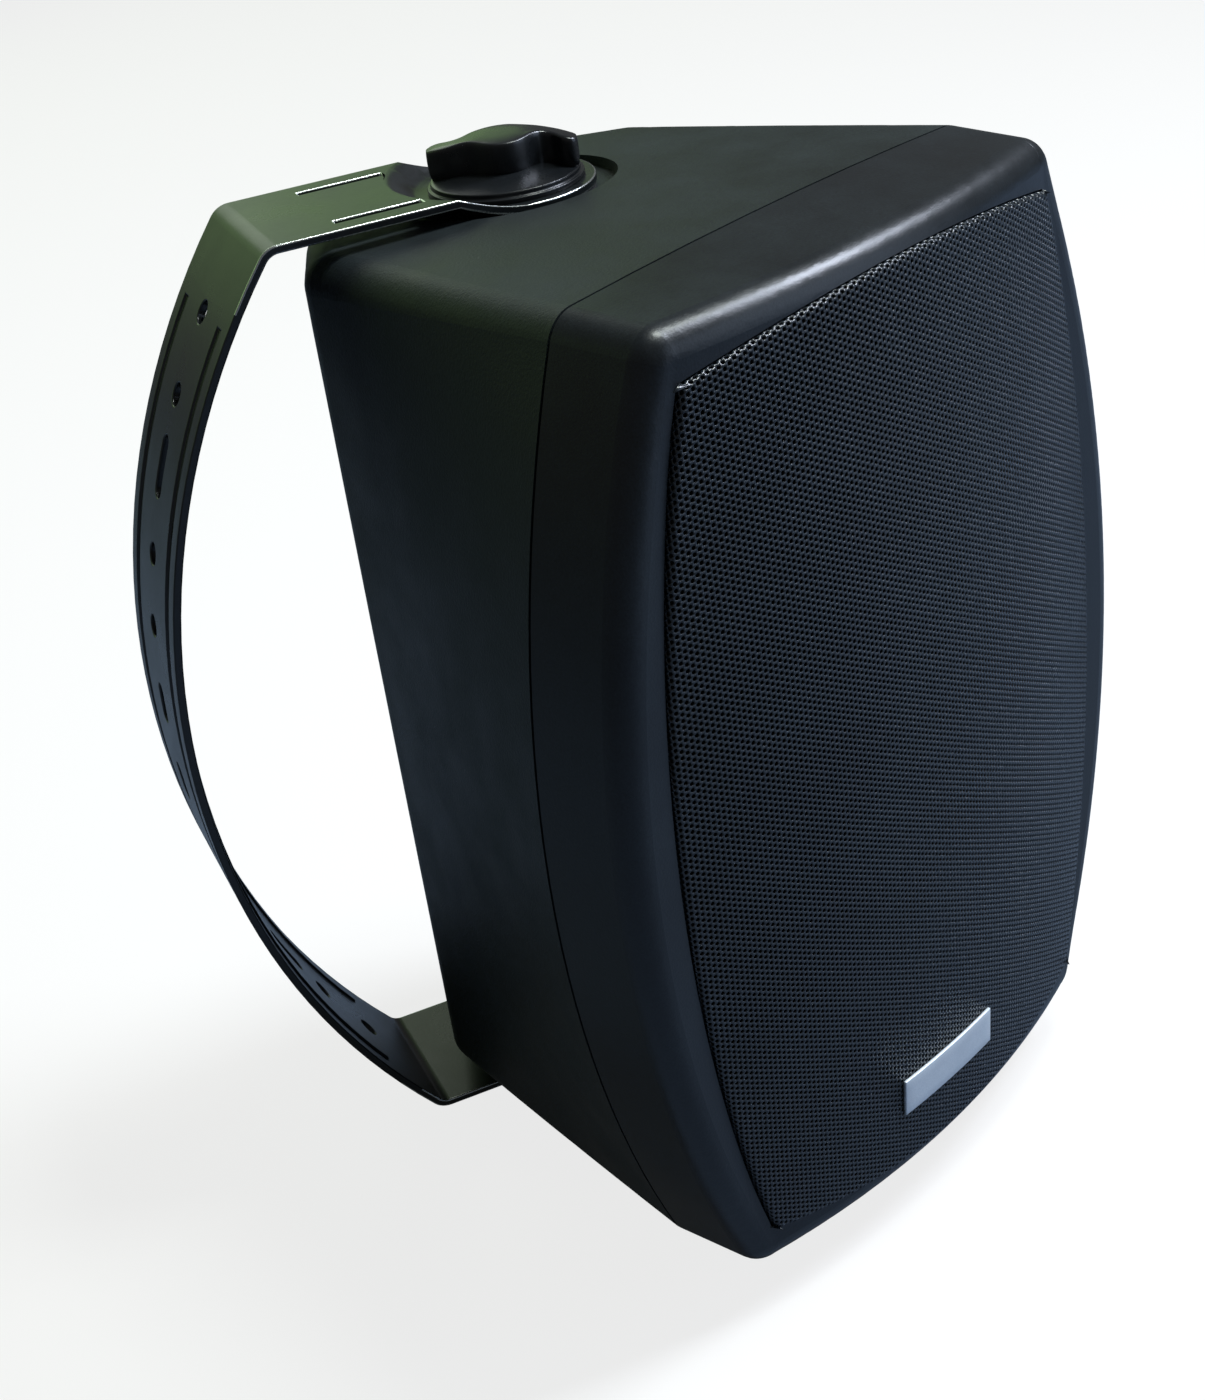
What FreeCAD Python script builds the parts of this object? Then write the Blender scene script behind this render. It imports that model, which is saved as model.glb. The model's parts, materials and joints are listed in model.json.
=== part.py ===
"""Two-way wall loudspeaker on a swivelling strip bracket, as a parametric document.

Millimetres, +Z up, the front of the cabinet faces -Y. The pieces are drawn in the
cabinet's own axes (seam plane at y = 0, middle of the cabinet at x = 0, z = 0) and
each piece is then placed so that the point where the bracket bears on the wall is
the origin.
"""
import FreeCAD, Part
import math
import os
import re

import Sketcher
from FreeCAD import Placement, Rotation, Vector

# Driving dimensions in millimetres and degrees. Depths are measured back from the
# seam between cabinet and baffle, front distances are measured forward from it.
SIZES = {
    # cabinet
    "seam_half_width": 115.2, "seam_side_bow": 30.4,
    "seam_half_height": 150.0, "seam_top_bow": 1.9,
    "corner_radius": 10.0, "case_wall": 4.0, "seam_gap": 0.8,
    "edge_depth": 113.5, "edge_half_width": 71.0,
    "back_depth": 142.0, "back_half_width": 46.0, "back_drop": 9.0,
    "rear_edge_radius": 12.0,
    # baffle and bezel
    "bezel_nose": 41.0, "bezel_rim": 31.0, "bezel_arc_half": 82.0,
    "bezel_draft": 2.5, "bezel_edge_radius": 8.0, "bezel_lip": 3.5, "bezel_blend": 40.0,
    "recess_half_width": 98.1, "recess_side_bow": 19.3,
    "recess_half_height": 142.1, "recess_top_bow": 8.6, "recess_corner": 3.0,
    "floor_front": 16.0, "floor_thickness": 4.0, "channel_depth": 21.0,
    "gasket_inset": 1.4, "gasket_width": 2.2,
    # grille
    "grille_fit": 0.3, "grille_sheet": 1.0, "grille_nose": 46.8,
    "crown_across": 325.0, "crown_upright": 2315.0, "scrim_thickness": 1.2,
    "badge_width": 44.0, "badge_height": 13.0, "badge_thickness": 1.2,
    "badge_shift": 5.0, "badge_drop": 114.5,
    # woofer
    "woofer_drop": 46.0, "woofer_radius": 82.5, "woofer_cutout": 72.0,
    "woofer_flange": 3.0, "woofer_gasket_thickness": 1.5, "basket_sheet": 2.0,
    "basket_depth": 38.0, "basket_foot": 46.0, "spider_depth": 22.0,
    "cone_radius": 58.0, "cone_sheet": 0.9, "cone_depth": 26.0, "roll_radius": 5.5,
    "roll_sheet": 0.9, "cap_radius": 20.0, "cap_rise": 7.0,
    "coil_radius": 13.0, "coil_wall": 0.5, "coil_winding": 0.7, "coil_height": 12.0,
    "pole_radius": 12.2, "plate_thickness": 5.0, "plate_radius": 42.0,
    "gap_radius": 15.2, "magnet_radius": 45.0, "magnet_bore": 23.0, "magnet_height": 15.0,
    "woofer_bolt_circle": 77.0, "basket_window": 44.0, "basket_window_depth": 24.0,
    "basket_window_front": 9.0, "basket_lip": 2.0, "basket_taper": 0.5, "basket_ledge": 6.0,
    "coil_clearance": 0.8, "cone_seat": 3.5, "roll_seat": 3.0, "roll_gap": 0.5, "gasket_setback": 1.0,
    "spider_wave": 1.5, "spider_step": 8.0, "spider_sheet": 1.0, "spider_seat": 5.0, "spider_gap": 0.5,
    "pole_rise": 1.0, "coil_overlap": 2.0,
    # tweeter
    "tweeter_rise": 86.0, "tweeter_radius": 42.0, "tweeter_plate": 4.0,
    "tweeter_cutout": 33.0, "tweeter_throat": 14.5, "tweeter_flare": 25.0,
    "dome_radius": 12.5, "dome_rise": 4.5, "dome_sheet": 0.5, "dome_foot": 18.0,
    "tweeter_motor": 30.0, "tweeter_magnet_height": 8.0, "tweeter_steel": 3.0,
    "tweeter_bolt_circle": 37.5, "tweeter_pole": 11.5, "tweeter_gap": 13.8,
    "throat_lip": 1.5, "tweeter_step": 2.0, "tweeter_pole_gap": 0.5,
    # port
    "port_shift": 64.0, "port_rise": 69.0, "port_bore": 16.0, "port_wall": 2.0,
    "port_flange": 22.0, "port_flange_height": 2.0, "port_length": 75.0,
    # crossover
    "board_half_width": 36.0, "board_half_height": 30.0, "board_rise": 62.0,
    "board_thickness": 1.6, "standoff_height": 8.0, "standoff_radius": 3.5,
    "inductor_radius": 17.0, "inductor_bore": 8.0, "inductor_height": 14.0,
    "capacitor_radius": 6.5, "capacitor_length": 24.0,
    "resistor_length": 24.0, "resistor_side": 8.0,
    "board_screw_inset": 5.0, "inductor_drop": 4.0, "capacitor_rise": 14.0, "resistor_drop": 16.0,
    "resistor_shift": 6.0, "board_screw_spare": 1.0,
    # terminals
    "pocket_half_width": 34.0, "pocket_half_height": 26.0, "pocket_depth": 10.0,
    "pocket_drop": 42.0, "terminal_plate": 2.5, "terminal_margin": 1.0,
    "post_spacing": 26.0, "post_radius": 3.0, "post_tail": 12.0, "post_reach": 17.0,
    "collar_radius": 7.0, "collar_height": 3.0, "cap_nut_radius": 6.0,
    "cap_nut_length": 11.0, "cap_chamfer": 0.8, "terminal_screw_inset": 6.0,
    "terminal_screw_spare": 0.5, "post_hole_play": 2.0,
    # screws
    "screw_radius": 1.75, "screw_head": 3.5, "screw_head_height": 2.4,
    "baffle_screw_length": 34.0, "boss_radius": 5.5,
    "boss_depth": 26.0, "boss_rib": 3.0, "boss_side": 72.0, "boss_end": 116.0,
    "boss_middle_side": 86.0, "boss_middle_rise": 12.0, "screw_play": 0.05,
    "screw_clearance": 0.45,
    # how far cutting tools run past the material
    "cut_past": 1.0, "cut_far": 20.0, "front_past": 60.0, "washer_play": 0.5,
    # bracket and clamps
    "pivot_depth": 101.0, "swivel_rest": 66.2, "strip_width": 53.0,
    "strip_sheet": 2.5, "tab_rise": 1.0, "tab_length": 80.6, "arm_bow": 54.0,
    "bend_radius": 5.0, "dish_drop": 6.0, "dish_rim": 35.5, "dish_radius": 26.5,
    "clamp_recess": 33.0, "clamp_floor": 5.0, "washer_thickness": 1.5,
    "stud_radius": 4.0, "stud_play": 0.1, "stud_grip": 12.0, "insert_radius": 5.5,
    "insert_length": 14.0, "insert_boss": 9.0,
    "tab_slot_start": 32.0, "tab_slot_length": 26.0, "tab_slot_width": 3.0,
    "tab_slot_offset": 18.0, "hole_radius": 3.5, "slot_half_width": 3.0,
    "long_slot": 20.0, "short_slot": 14.0,
    # places of the wall holes along the arm, as lengths of arc from its middle
    "hole_near": 40.0, "hole_second": 63.0, "hole_third": 112.0, "hole_far": 137.0,
    "short_slot_place": 14.0, "long_slot_place": 90.0,
    "groove_offset": 18.5, "groove_width": 4.0,
    "groove_depth": 0.8, "groove_end_angle": 33.0,
    "knob_flange": 23.4, "knob_flange_height": 1.6, "knob_step": 22.3,
    "knob_step_height": 1.5, "skirt_rise": 2.4, "knob_height": 15.0, "knob_fall": 3.0,
    "hub_radius": 11.0, "hub_flat": 6.0, "wing_half_thickness": 3.4, "wing_end_radius": 3.4,
    "wing_end_reach": 18.6, "wing_end_offset": 4.2, "wing_blend": 4.0,
    "knob_rest": -42.5, "stud_cover": 5.0,
}

FRONT = Rotation(Vector(1, 0, 0), 90)
SIDE = Rotation(Vector(1, 1, 1), 120)
PLAN = Rotation()
ALONG_Y = Rotation(Vector(1, 0, 0), -90)
OFFSET_AXIS = {"front": "y", "side": "x", "plan": "z"}
TURN = {"front": FRONT, "side": SIDE, "plan": PLAN}

doc = FreeCAD.newDocument("wall_speaker")
sheet = doc.addObject("Spreadsheet::Sheet", "Sizes")
nodes = []


def fill_sheet():
    """Write every driving dimension to the sheet under its own alias."""
    for row, (alias, size) in enumerate(SIZES.items(), 1):
        sheet.set(f"A{row}", alias)
        sheet.set(f"B{row}", str(size))
        sheet.setAlias(f"B{row}", alias)
    doc.recompute()


def bound(text):
    """Turn a formula in aliases into an expression that reads the sheet."""
    return re.sub(r"[a-z_]+", lambda m: f"Sizes.{m.group()}" if m.group() in SIZES else m.group(),
                  str(text))


def number(text):
    """Value of a formula in aliases."""
    return float(sheet.evalExpression(str(text)))


def bind(thing, **formulas):
    """Bind properties of an object to formulas, with __ standing for a dot."""
    for path, formula in formulas.items():
        thing.setExpression(path.replace("__", "."), bound(formula))
    return thing


def move(thing, x="0", y="0", z="0"):
    """Bind an object's place to formulas."""
    return bind(thing, Placement__Base__x=x, Placement__Base__y=y, Placement__Base__z=z)


def draw_loop(sketch, corners, arcs=None):
    """Draw a closed counter-clockwise outline and pin every corner to its formulas.

    corners are pairs of formulas; arcs gives, by the index of an edge, the formula
    of its radius, with a leading minus where the arc bends inwards.
    """
    arcs = arcs or {}
    points = [Vector(number(x), number(y), 0) for x, y in corners]
    count = len(points)
    edges = []
    for i, start in enumerate(points):
        end = points[(i + 1) % count]
        if i not in arcs:
            edges.append((sketch.addGeometry(Part.LineSegment(start, end), False), 1, 2))
            continue
        inward = arcs[i].startswith("-")
        radius = number(arcs[i].lstrip("-"))
        chord = end - start
        rise = radius - math.sqrt(max(0.0, radius ** 2 - chord.Length ** 2 / 4))
        out = Vector(chord.y, -chord.x, 0).normalize() * (-rise if inward else rise)
        first, last = (end, start) if inward else (start, end)
        geometry = sketch.addGeometry(Part.Arc(first, (start + end) / 2 + out, last), False)
        edges.append((geometry, 2, 1) if inward else (geometry, 1, 2))
        row = sketch.addConstraint(Sketcher.Constraint("Radius", geometry, radius))
        sketch.setExpression(f"Constraints[{row}]", bound(arcs[i].lstrip("-")))
    for i, (geometry, first, last) in enumerate(edges):
        following = edges[(i + 1) % count]
        sketch.addConstraint(Sketcher.Constraint("Coincident", geometry, last, following[0], following[1]))
        for kind, axis, coordinate, formula in (("DistanceX", -2, points[i].x, corners[i][0]),
                                                ("DistanceY", -1, points[i].y, corners[i][1])):
            if abs(coordinate) < 1e-9:
                sketch.addConstraint(Sketcher.Constraint("PointOnObject", geometry, first, axis))
                continue
            row = sketch.addConstraint(Sketcher.Constraint(kind, geometry, first, coordinate))
            sketch.setExpression(f"Constraints[{row}]", bound(formula))


def free_sketch(name, view, offset, corners, arcs=None):
    """Sketch in the front, side or plan view at a bound distance from the middle."""
    sketch = doc.addObject("Sketcher::SketchObject", name)
    sketch.Placement = Placement(Vector(), TURN[view])
    sketch.setExpression(f"Placement.Base.{OFFSET_AXIS[view]}", bound(offset))
    draw_loop(sketch, corners, arcs)
    return sketch


def extruded(name, sketch, direction, length, symmetric=False):
    """Straight solid from a sketch."""
    solid = doc.addObject("Part::Extrusion", name)
    solid.Base = sketch
    solid.DirMode = "Custom"
    solid.Dir = direction
    solid.Solid = True
    solid.Symmetric = symmetric
    return bind(solid, LengthFwd=length)


def lofted(name, sections):
    """Ruled solid through sketches."""
    solid = doc.addObject("Part::Loft", name)
    solid.Sections = sections
    solid.Solid = True
    solid.Ruled = True
    return solid


def joined(kind, name, shapes):
    """Boolean of several objects: MultiFuse or MultiCommon."""
    result = doc.addObject(f"Part::{kind}", name)
    result.Shapes = shapes
    return result


def cut(name, base, tool):
    """Base less tool; several tools are fused first."""
    if isinstance(tool, (list, tuple)):
        tool = joined("MultiFuse", f"{name}_tools", list(tool)) if len(tool) > 1 else tool[0]
    result = doc.addObject("Part::Cut", name)
    result.Base = base
    result.Tool = tool
    return result


def rounded(name, base, radius, choose):
    """Fillet the edges of base that choose(shape) returns."""
    doc.recompute()
    shape = base.Shape
    chosen = choose(shape)
    size = number(radius)
    result = doc.addObject("Part::Fillet", name)
    result.Base = base
    result.Edges = [(i, size, size) for i, edge in enumerate(shape.Edges, 1)
                    if any(edge.isSame(other) for other in chosen)]
    return result


def rod(name, radius, length, x="0", y="0", z="0", turn=ALONG_Y):
    """Cylinder that starts at a bound place and runs along +Y, or along +Z."""
    solid = doc.addObject("Part::Cylinder", name)
    solid.Placement = Placement(Vector(), turn)
    bind(solid, Radius=radius, Height=length)
    return move(solid, x, y, z)


def block(name, size, low):
    """Box from its bound sizes and lowest corner."""
    solid = doc.addObject("Part::Box", name)
    bind(solid, Length=size[0], Width=size[1], Height=size[2])
    return move(solid, *low)


def turned(name, plane, profile, arcs=None):
    """Body turned about the sketch's own upright axis from a half profile."""
    body = doc.addObject("PartDesign::Body", name)
    support = next(f for f in body.Origin.OriginFeatures if f.Role == plane)
    sketch = body.newObject("Sketcher::SketchObject", f"{name}_profile")
    sketch.AttachmentSupport = (support, [""])
    sketch.MapMode = "FlatFace"
    draw_loop(sketch, profile, arcs)
    turn = body.newObject("PartDesign::Revolution", f"{name}_turn")
    turn.Profile = sketch
    turn.ReferenceAxis = (sketch, ["V_Axis"])
    turn.Angle = 360.0
    return body


def node(label, thing, x="0", y="0", z="0"):
    """Name a finished piece and place it from the wall point of the bracket."""
    thing.Label = label
    move(thing, f"{x} + (tab_length + arm_bow) * sin(swivel_rest)",
         f"{y} - pivot_depth - (tab_length + arm_bow) * cos(swivel_rest)", z)
    nodes.append(thing)
    return thing


def bowed_corners(half_width, side_bow, half_height, top_bow, inset="0"):
    """Corners and arcs of a rectangle with bowed sides, set in by an inset."""
    x = f"({half_width} - {side_bow} - {inset})"
    z = f"({half_height} - {top_bow} - {inset})"
    corners = [(f"-{x}", f"-{z}"), (x, f"-{z}"), (x, z), (f"-{x}", z)]
    flat = f"({x}^2 + {top_bow}^2) / (2 * {top_bow})"
    side = f"({z}^2 + {side_bow}^2) / (2 * {side_bow})"
    return corners, {0: flat, 1: side, 2: flat, 3: side}


def seam_outline(inset="0"):
    """Outline of the cabinet at the seam."""
    return bowed_corners("seam_half_width", "seam_side_bow", "seam_half_height", "seam_top_bow", inset)


def recess_outline(inset="0"):
    """Outline of the recess that holds the grille."""
    return bowed_corners("recess_half_width", "recess_side_bow", "recess_half_height", "recess_top_bow",
                         inset)


def edges_along_y(shape):
    """Edges that run from front to back at the corners of a prism."""
    depth = 0.9 * shape.BoundBox.YLength
    return [e for e in shape.Edges if len(e.Vertexes) == 2 and e.BoundBox.YLength > depth]


def prism(name, outline, front, length, radius):
    """Straight solid of a bowed outline from a front distance back, with round corners."""
    sketch = free_sketch(f"{name}_outline", "front", f"-({front})", *outline)
    solid = extruded(f"{name}_solid", sketch, Vector(0, 1, 0), length)
    return rounded(name, solid, radius, edges_along_y)


def barrel(name, inset, front, radius_loss):
    """Cabinet body: bowed at the seam, tapering to a straight back with angled corners."""
    bow_radius = "((seam_half_height - seam_top_bow)^2 + seam_side_bow^2) / (2 * seam_side_bow)"
    reach = "200"
    side_x = f"(seam_half_width - {inset} - ({bow_radius} - sqrt(({bow_radius})^2 - {reach}^2)))"
    ends = [(f"-{side_x}", f"-{reach}"), (side_x, f"-{reach}"), (side_x, reach), (f"-{side_x}", reach)]
    first = free_sketch(f"{name}_seam", "front", front, ends, {1: bow_radius, 3: bow_radius})
    stations = [first]
    for tag, half, depth in (("edge", "edge_half_width", "edge_depth"),
                             ("back", "back_half_width", "back_depth")):
        x = f"({half} - {inset})"
        y = depth if tag == "edge" else f"{depth} - {inset}"
        corners = [(f"-{x}", f"-{reach}"), (x, f"-{reach}"), (x, reach), (f"-{x}", reach)]
        stations.append(free_sketch(f"{name}_{tag}", "front", y, corners))
    upright = lofted(f"{name}_sides", stations)

    def rear_uprights(shape):
        return [e for e in shape.Edges if e.BoundBox.ZLength > number(reach)
                and e.BoundBox.YMin > shape.BoundBox.YMin + 1.0]

    soft_sides = rounded(f"{name}_soft_sides", upright, f"rear_edge_radius - {radius_loss}", rear_uprights)
    wide = "160"
    crown = "((seam_half_width - seam_side_bow)^2 + seam_top_bow^2) / (2 * seam_top_bow)"
    shoulder = f"(seam_half_height - {inset} - ({crown} - sqrt(({crown})^2 - {wide}^2)))"
    low = [(f"-{wide}", f"-{shoulder}"), (wide, f"-{shoulder}"), (wide, shoulder), (f"-{wide}", shoulder)]
    lid_front = free_sketch(f"{name}_lid_front", "front", front, low, {0: crown, 2: crown})
    rear = f"({BACK_HALF_HEIGHT} - {inset})"
    flat = [(f"-{wide}", f"-{rear}"), (wide, f"-{rear}"), (wide, rear), (f"-{wide}", rear)]
    lid_back = free_sketch(f"{name}_lid_back", "front", "back_depth", flat)
    lids = lofted(f"{name}_lids", [lid_front, lid_back])
    whole = joined("MultiCommon", f"{name}_whole", [soft_sides, lids])

    def lid_edges(shape):
        front_y = shape.BoundBox.YMin
        chosen = []
        for face in shape.Faces:
            if abs(face.normalAt(0.5, 0.5).z) < 0.9 and face.BoundBox.ZLength > number("seam_half_height"):
                continue
            chosen += [e for e in face.OuterWire.Edges if e.BoundBox.YMax > front_y + 1.0]
        return chosen

    return rounded(name, whole, f"corner_radius - {radius_loss}", lid_edges)


def crown_solid(name, setback):
    """Everything behind the crowned front of the grille, set back by a distance."""
    half = "125"
    nose = f"(-grille_nose + {setback})"
    radius = f"(crown_across - {setback})"
    rim = f"{nose} + {radius} - sqrt({radius}^2 - {half}^2)"
    corners = [(f"-{half}", rim), (half, rim), (half, "cut_far"), (f"-{half}", "cut_far")]
    profile = free_sketch(f"{name}_profile", "plan", "0", corners, {0: radius})
    solid = doc.addObject("Part::Revolution", name)
    solid.Source = profile
    solid.Axis = Vector(1, 0, 0)
    solid.Angle = 12.0
    solid.Symmetric = True
    solid.Solid = True
    return bind(solid, Base__y="crown_upright - grille_nose")


# Heights and depths that several pieces share, as formulas in the driving dimensions.
TAB_HEIGHT = "(seam_half_height + tab_rise)"
DISH_LEVEL = f"({TAB_HEIGHT} - dish_drop)"
BACK_HALF_HEIGHT = "(seam_half_height - back_drop)"
CLAMP_SEAT = f"({DISH_LEVEL} - strip_sheet - washer_thickness)"
FLOOR_BACK = "(floor_front - floor_thickness)"
WOOFER_FACE = "(floor_front + woofer_gasket_thickness + woofer_flange)"
MOTOR_BACK = "(basket_depth + plate_thickness + magnet_height)"
BOARD_FRONT = "(back_depth - case_wall - standoff_height - board_thickness)"
POCKET_FLOOR = "(back_depth - pocket_depth)"
ARM_RADIUS = f"(({TAB_HEIGHT}^2 + arm_bow^2) / (2 * arm_bow))"
ARM_CENTER = f"(tab_length + arm_bow - {ARM_RADIUS})"
BAFFLE_SCREWS = [(f"{x} * boss_side", f"{z} * boss_end") for x in (-1, 1) for z in (-1, 1)]
BAFFLE_SCREWS += [(f"{x} * boss_middle_side", "boss_middle_rise") for x in (-1, 1)]
BOARD_SCREW_X = "(board_half_width - board_screw_inset)"
BOARD_SCREW_Z = "(board_half_height - board_screw_inset)"
TERMINAL_SCREW_X = "(pocket_half_width - terminal_screw_inset)"
TERMINAL_SCREW_Z = "(pocket_half_height - terminal_screw_inset)"
BOARD_SCREWS = [(f"{x} * {BOARD_SCREW_X}", f"board_rise + {z} * {BOARD_SCREW_Z}")
                for x in (-1, 1) for z in (-1, 1)]
TERMINAL_SCREWS = [(f"{x} * {TERMINAL_SCREW_X}", f"{z} * {TERMINAL_SCREW_Z} - pocket_drop")
                   for x in (-1, 1) for z in (-1, 1)]
# Height of tools that cut through both tabs of the bracket, and where they start.
TABS_THROUGH = f"2 * {TAB_HEIGHT} + 2 * cut_past"
TABS_START = f"-{TAB_HEIGHT} - cut_past"


def bolt_circle(count, radius, rise, start):
    """Screw places on a circle about a driver's axis."""
    turn = 360 / count
    return [(f"{radius} * cos({start + turn * i})", f"{rise} + {radius} * sin({start + turn * i})")
            for i in range(count)]


WOOFER_SCREWS = bolt_circle(4, "woofer_bolt_circle", "-woofer_drop", 45)
TWEETER_SCREWS = bolt_circle(3, "tweeter_bolt_circle", "tweeter_rise", 90)


def rods(name, places, radius, length, y):
    """Like cylinders along Y at several places."""
    return [rod(f"{name}_{i}", radius, length, x, y, z) for i, (x, z) in enumerate(places)]


def screws(label, places, seat, length, toward_back=False):
    """Group of pan-head screws whose heads sit on the plane y = seat."""
    group = []
    for i, (x, z) in enumerate(places):
        head = doc.addObject("Part::Cone", f"{label}_head_{i}")
        head.Placement = Placement(Vector(), ALONG_Y)
        wide, narrow = "screw_head", "screw_head * 0.8"
        bind(head, Radius1=wide if toward_back else narrow, Radius2=narrow if toward_back else wide,
             Height="screw_head_height")
        move(head, x, seat if toward_back else f"{seat} - screw_head_height", z)
        start = f"{seat} - ({length})" if toward_back else f"{seat} - screw_head_height / 2"
        shank = rod(f"{label}_shank_{i}", "screw_radius", f"{length} + screw_head_height / 2", x, start, z)
        group.append(joined("MultiFuse", f"{label}_{i}", [head, shank]))
    return gathered(label, group)


def gathered(label, shapes):
    """One node that holds several separate solids."""
    group = doc.addObject("Part::Compound", label)
    group.Links = shapes
    return node(label, group)


def rear_cabinet():
    """Moulded cabinet: shell, clamp pads, screw bosses, standoffs and terminal pocket."""
    outer = barrel("case_outer", "0", "seam_gap", "0")
    inner = barrel("case_inner", "case_wall", "seam_gap", "case_wall")
    shell = cut("case_shell", outer, inner)
    inside = rods("case_boss", BAFFLE_SCREWS, "boss_radius", "boss_depth", "seam_gap")
    for i, (x, z) in enumerate(BAFFLE_SCREWS):
        low = f"{x} - edge_half_width" if number(x) < 0 else x
        inside.append(block(f"case_rib_{i}", ("edge_half_width", "boss_depth", "boss_rib"),
                            (low, "seam_gap", f"{z} - boss_rib / 2")))
    inside += rods("case_standoff", BOARD_SCREWS, "standoff_radius", "standoff_height + case_wall / 2",
                   "back_depth - case_wall - standoff_height")
    inside.append(block("case_pocket_wall",
                        ("2 * (pocket_half_width + case_wall)", "pocket_depth + case_wall",
                         "2 * (pocket_half_height + case_wall)"),
                        ("-pocket_half_width - case_wall", f"{POCKET_FLOOR} - case_wall",
                         "-pocket_drop - pocket_half_height - case_wall")))
    holes = rods("case_pilot", BAFFLE_SCREWS, "screw_radius + screw_play", "boss_depth",
                 "seam_gap - cut_past")
    holes += rods("case_board_pilot", BOARD_SCREWS, "screw_radius + screw_play",
                  "standoff_height + cut_past",
                  "back_depth - case_wall - standoff_height - cut_past")
    holes += rods("case_terminal_pilot", TERMINAL_SCREWS, "screw_radius + screw_play",
                  "case_wall + 2 * cut_past",
                  f"{POCKET_FLOOR} - case_wall - cut_past")
    holes.append(block("case_pocket",
                       ("2 * pocket_half_width", "pocket_depth + cut_far", "2 * pocket_half_height"),
                       ("-pocket_half_width", POCKET_FLOOR, "-pocket_drop - pocket_half_height")))
    for side in (-1, 1):
        holes.append(rod(f"case_post_hole_{side + 1}", "post_radius + post_hole_play",
                         "case_wall + 2 * cut_past",
                         f"{side} * post_spacing / 2", f"{POCKET_FLOOR} - case_wall - cut_past",
                         "-pocket_drop"))
        up = side > 0
        pad_low = f"{CLAMP_SEAT} - clamp_floor"
        pad_height = f"seam_half_height - ({pad_low})"
        inside.append(rod(f"case_clamp_pad_{side + 1}", "clamp_recess + case_wall", pad_height, "0",
                          "pivot_depth",
                          pad_low if up else "-seam_half_height", PLAN))
        boss_low = f"{CLAMP_SEAT} - insert_length - case_wall"
        inside.append(rod(f"case_insert_boss_{side + 1}", "insert_boss", "insert_length + case_wall", "0",
                          "pivot_depth", boss_low if up else f"-{CLAMP_SEAT}", PLAN))
        holes.append(rod(f"case_clamp_recess_{side + 1}", "clamp_recess", "cut_far", "0", "pivot_depth",
                         CLAMP_SEAT if up else f"-{CLAMP_SEAT} - cut_far", PLAN))
        holes.append(rod(f"case_insert_hole_{side + 1}", "insert_radius", "insert_length + cut_past", "0",
                         "pivot_depth",
                         f"{CLAMP_SEAT} - insert_length" if up else f"-{CLAMP_SEAT} - cut_past", PLAN))
    trimmed = joined("MultiCommon", "case_inside", [outer, joined("MultiFuse", "case_features", inside)])
    node("rear_cabinet", cut("case", joined("MultiFuse", "case_full", [shell, trimmed]), holes))


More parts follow.
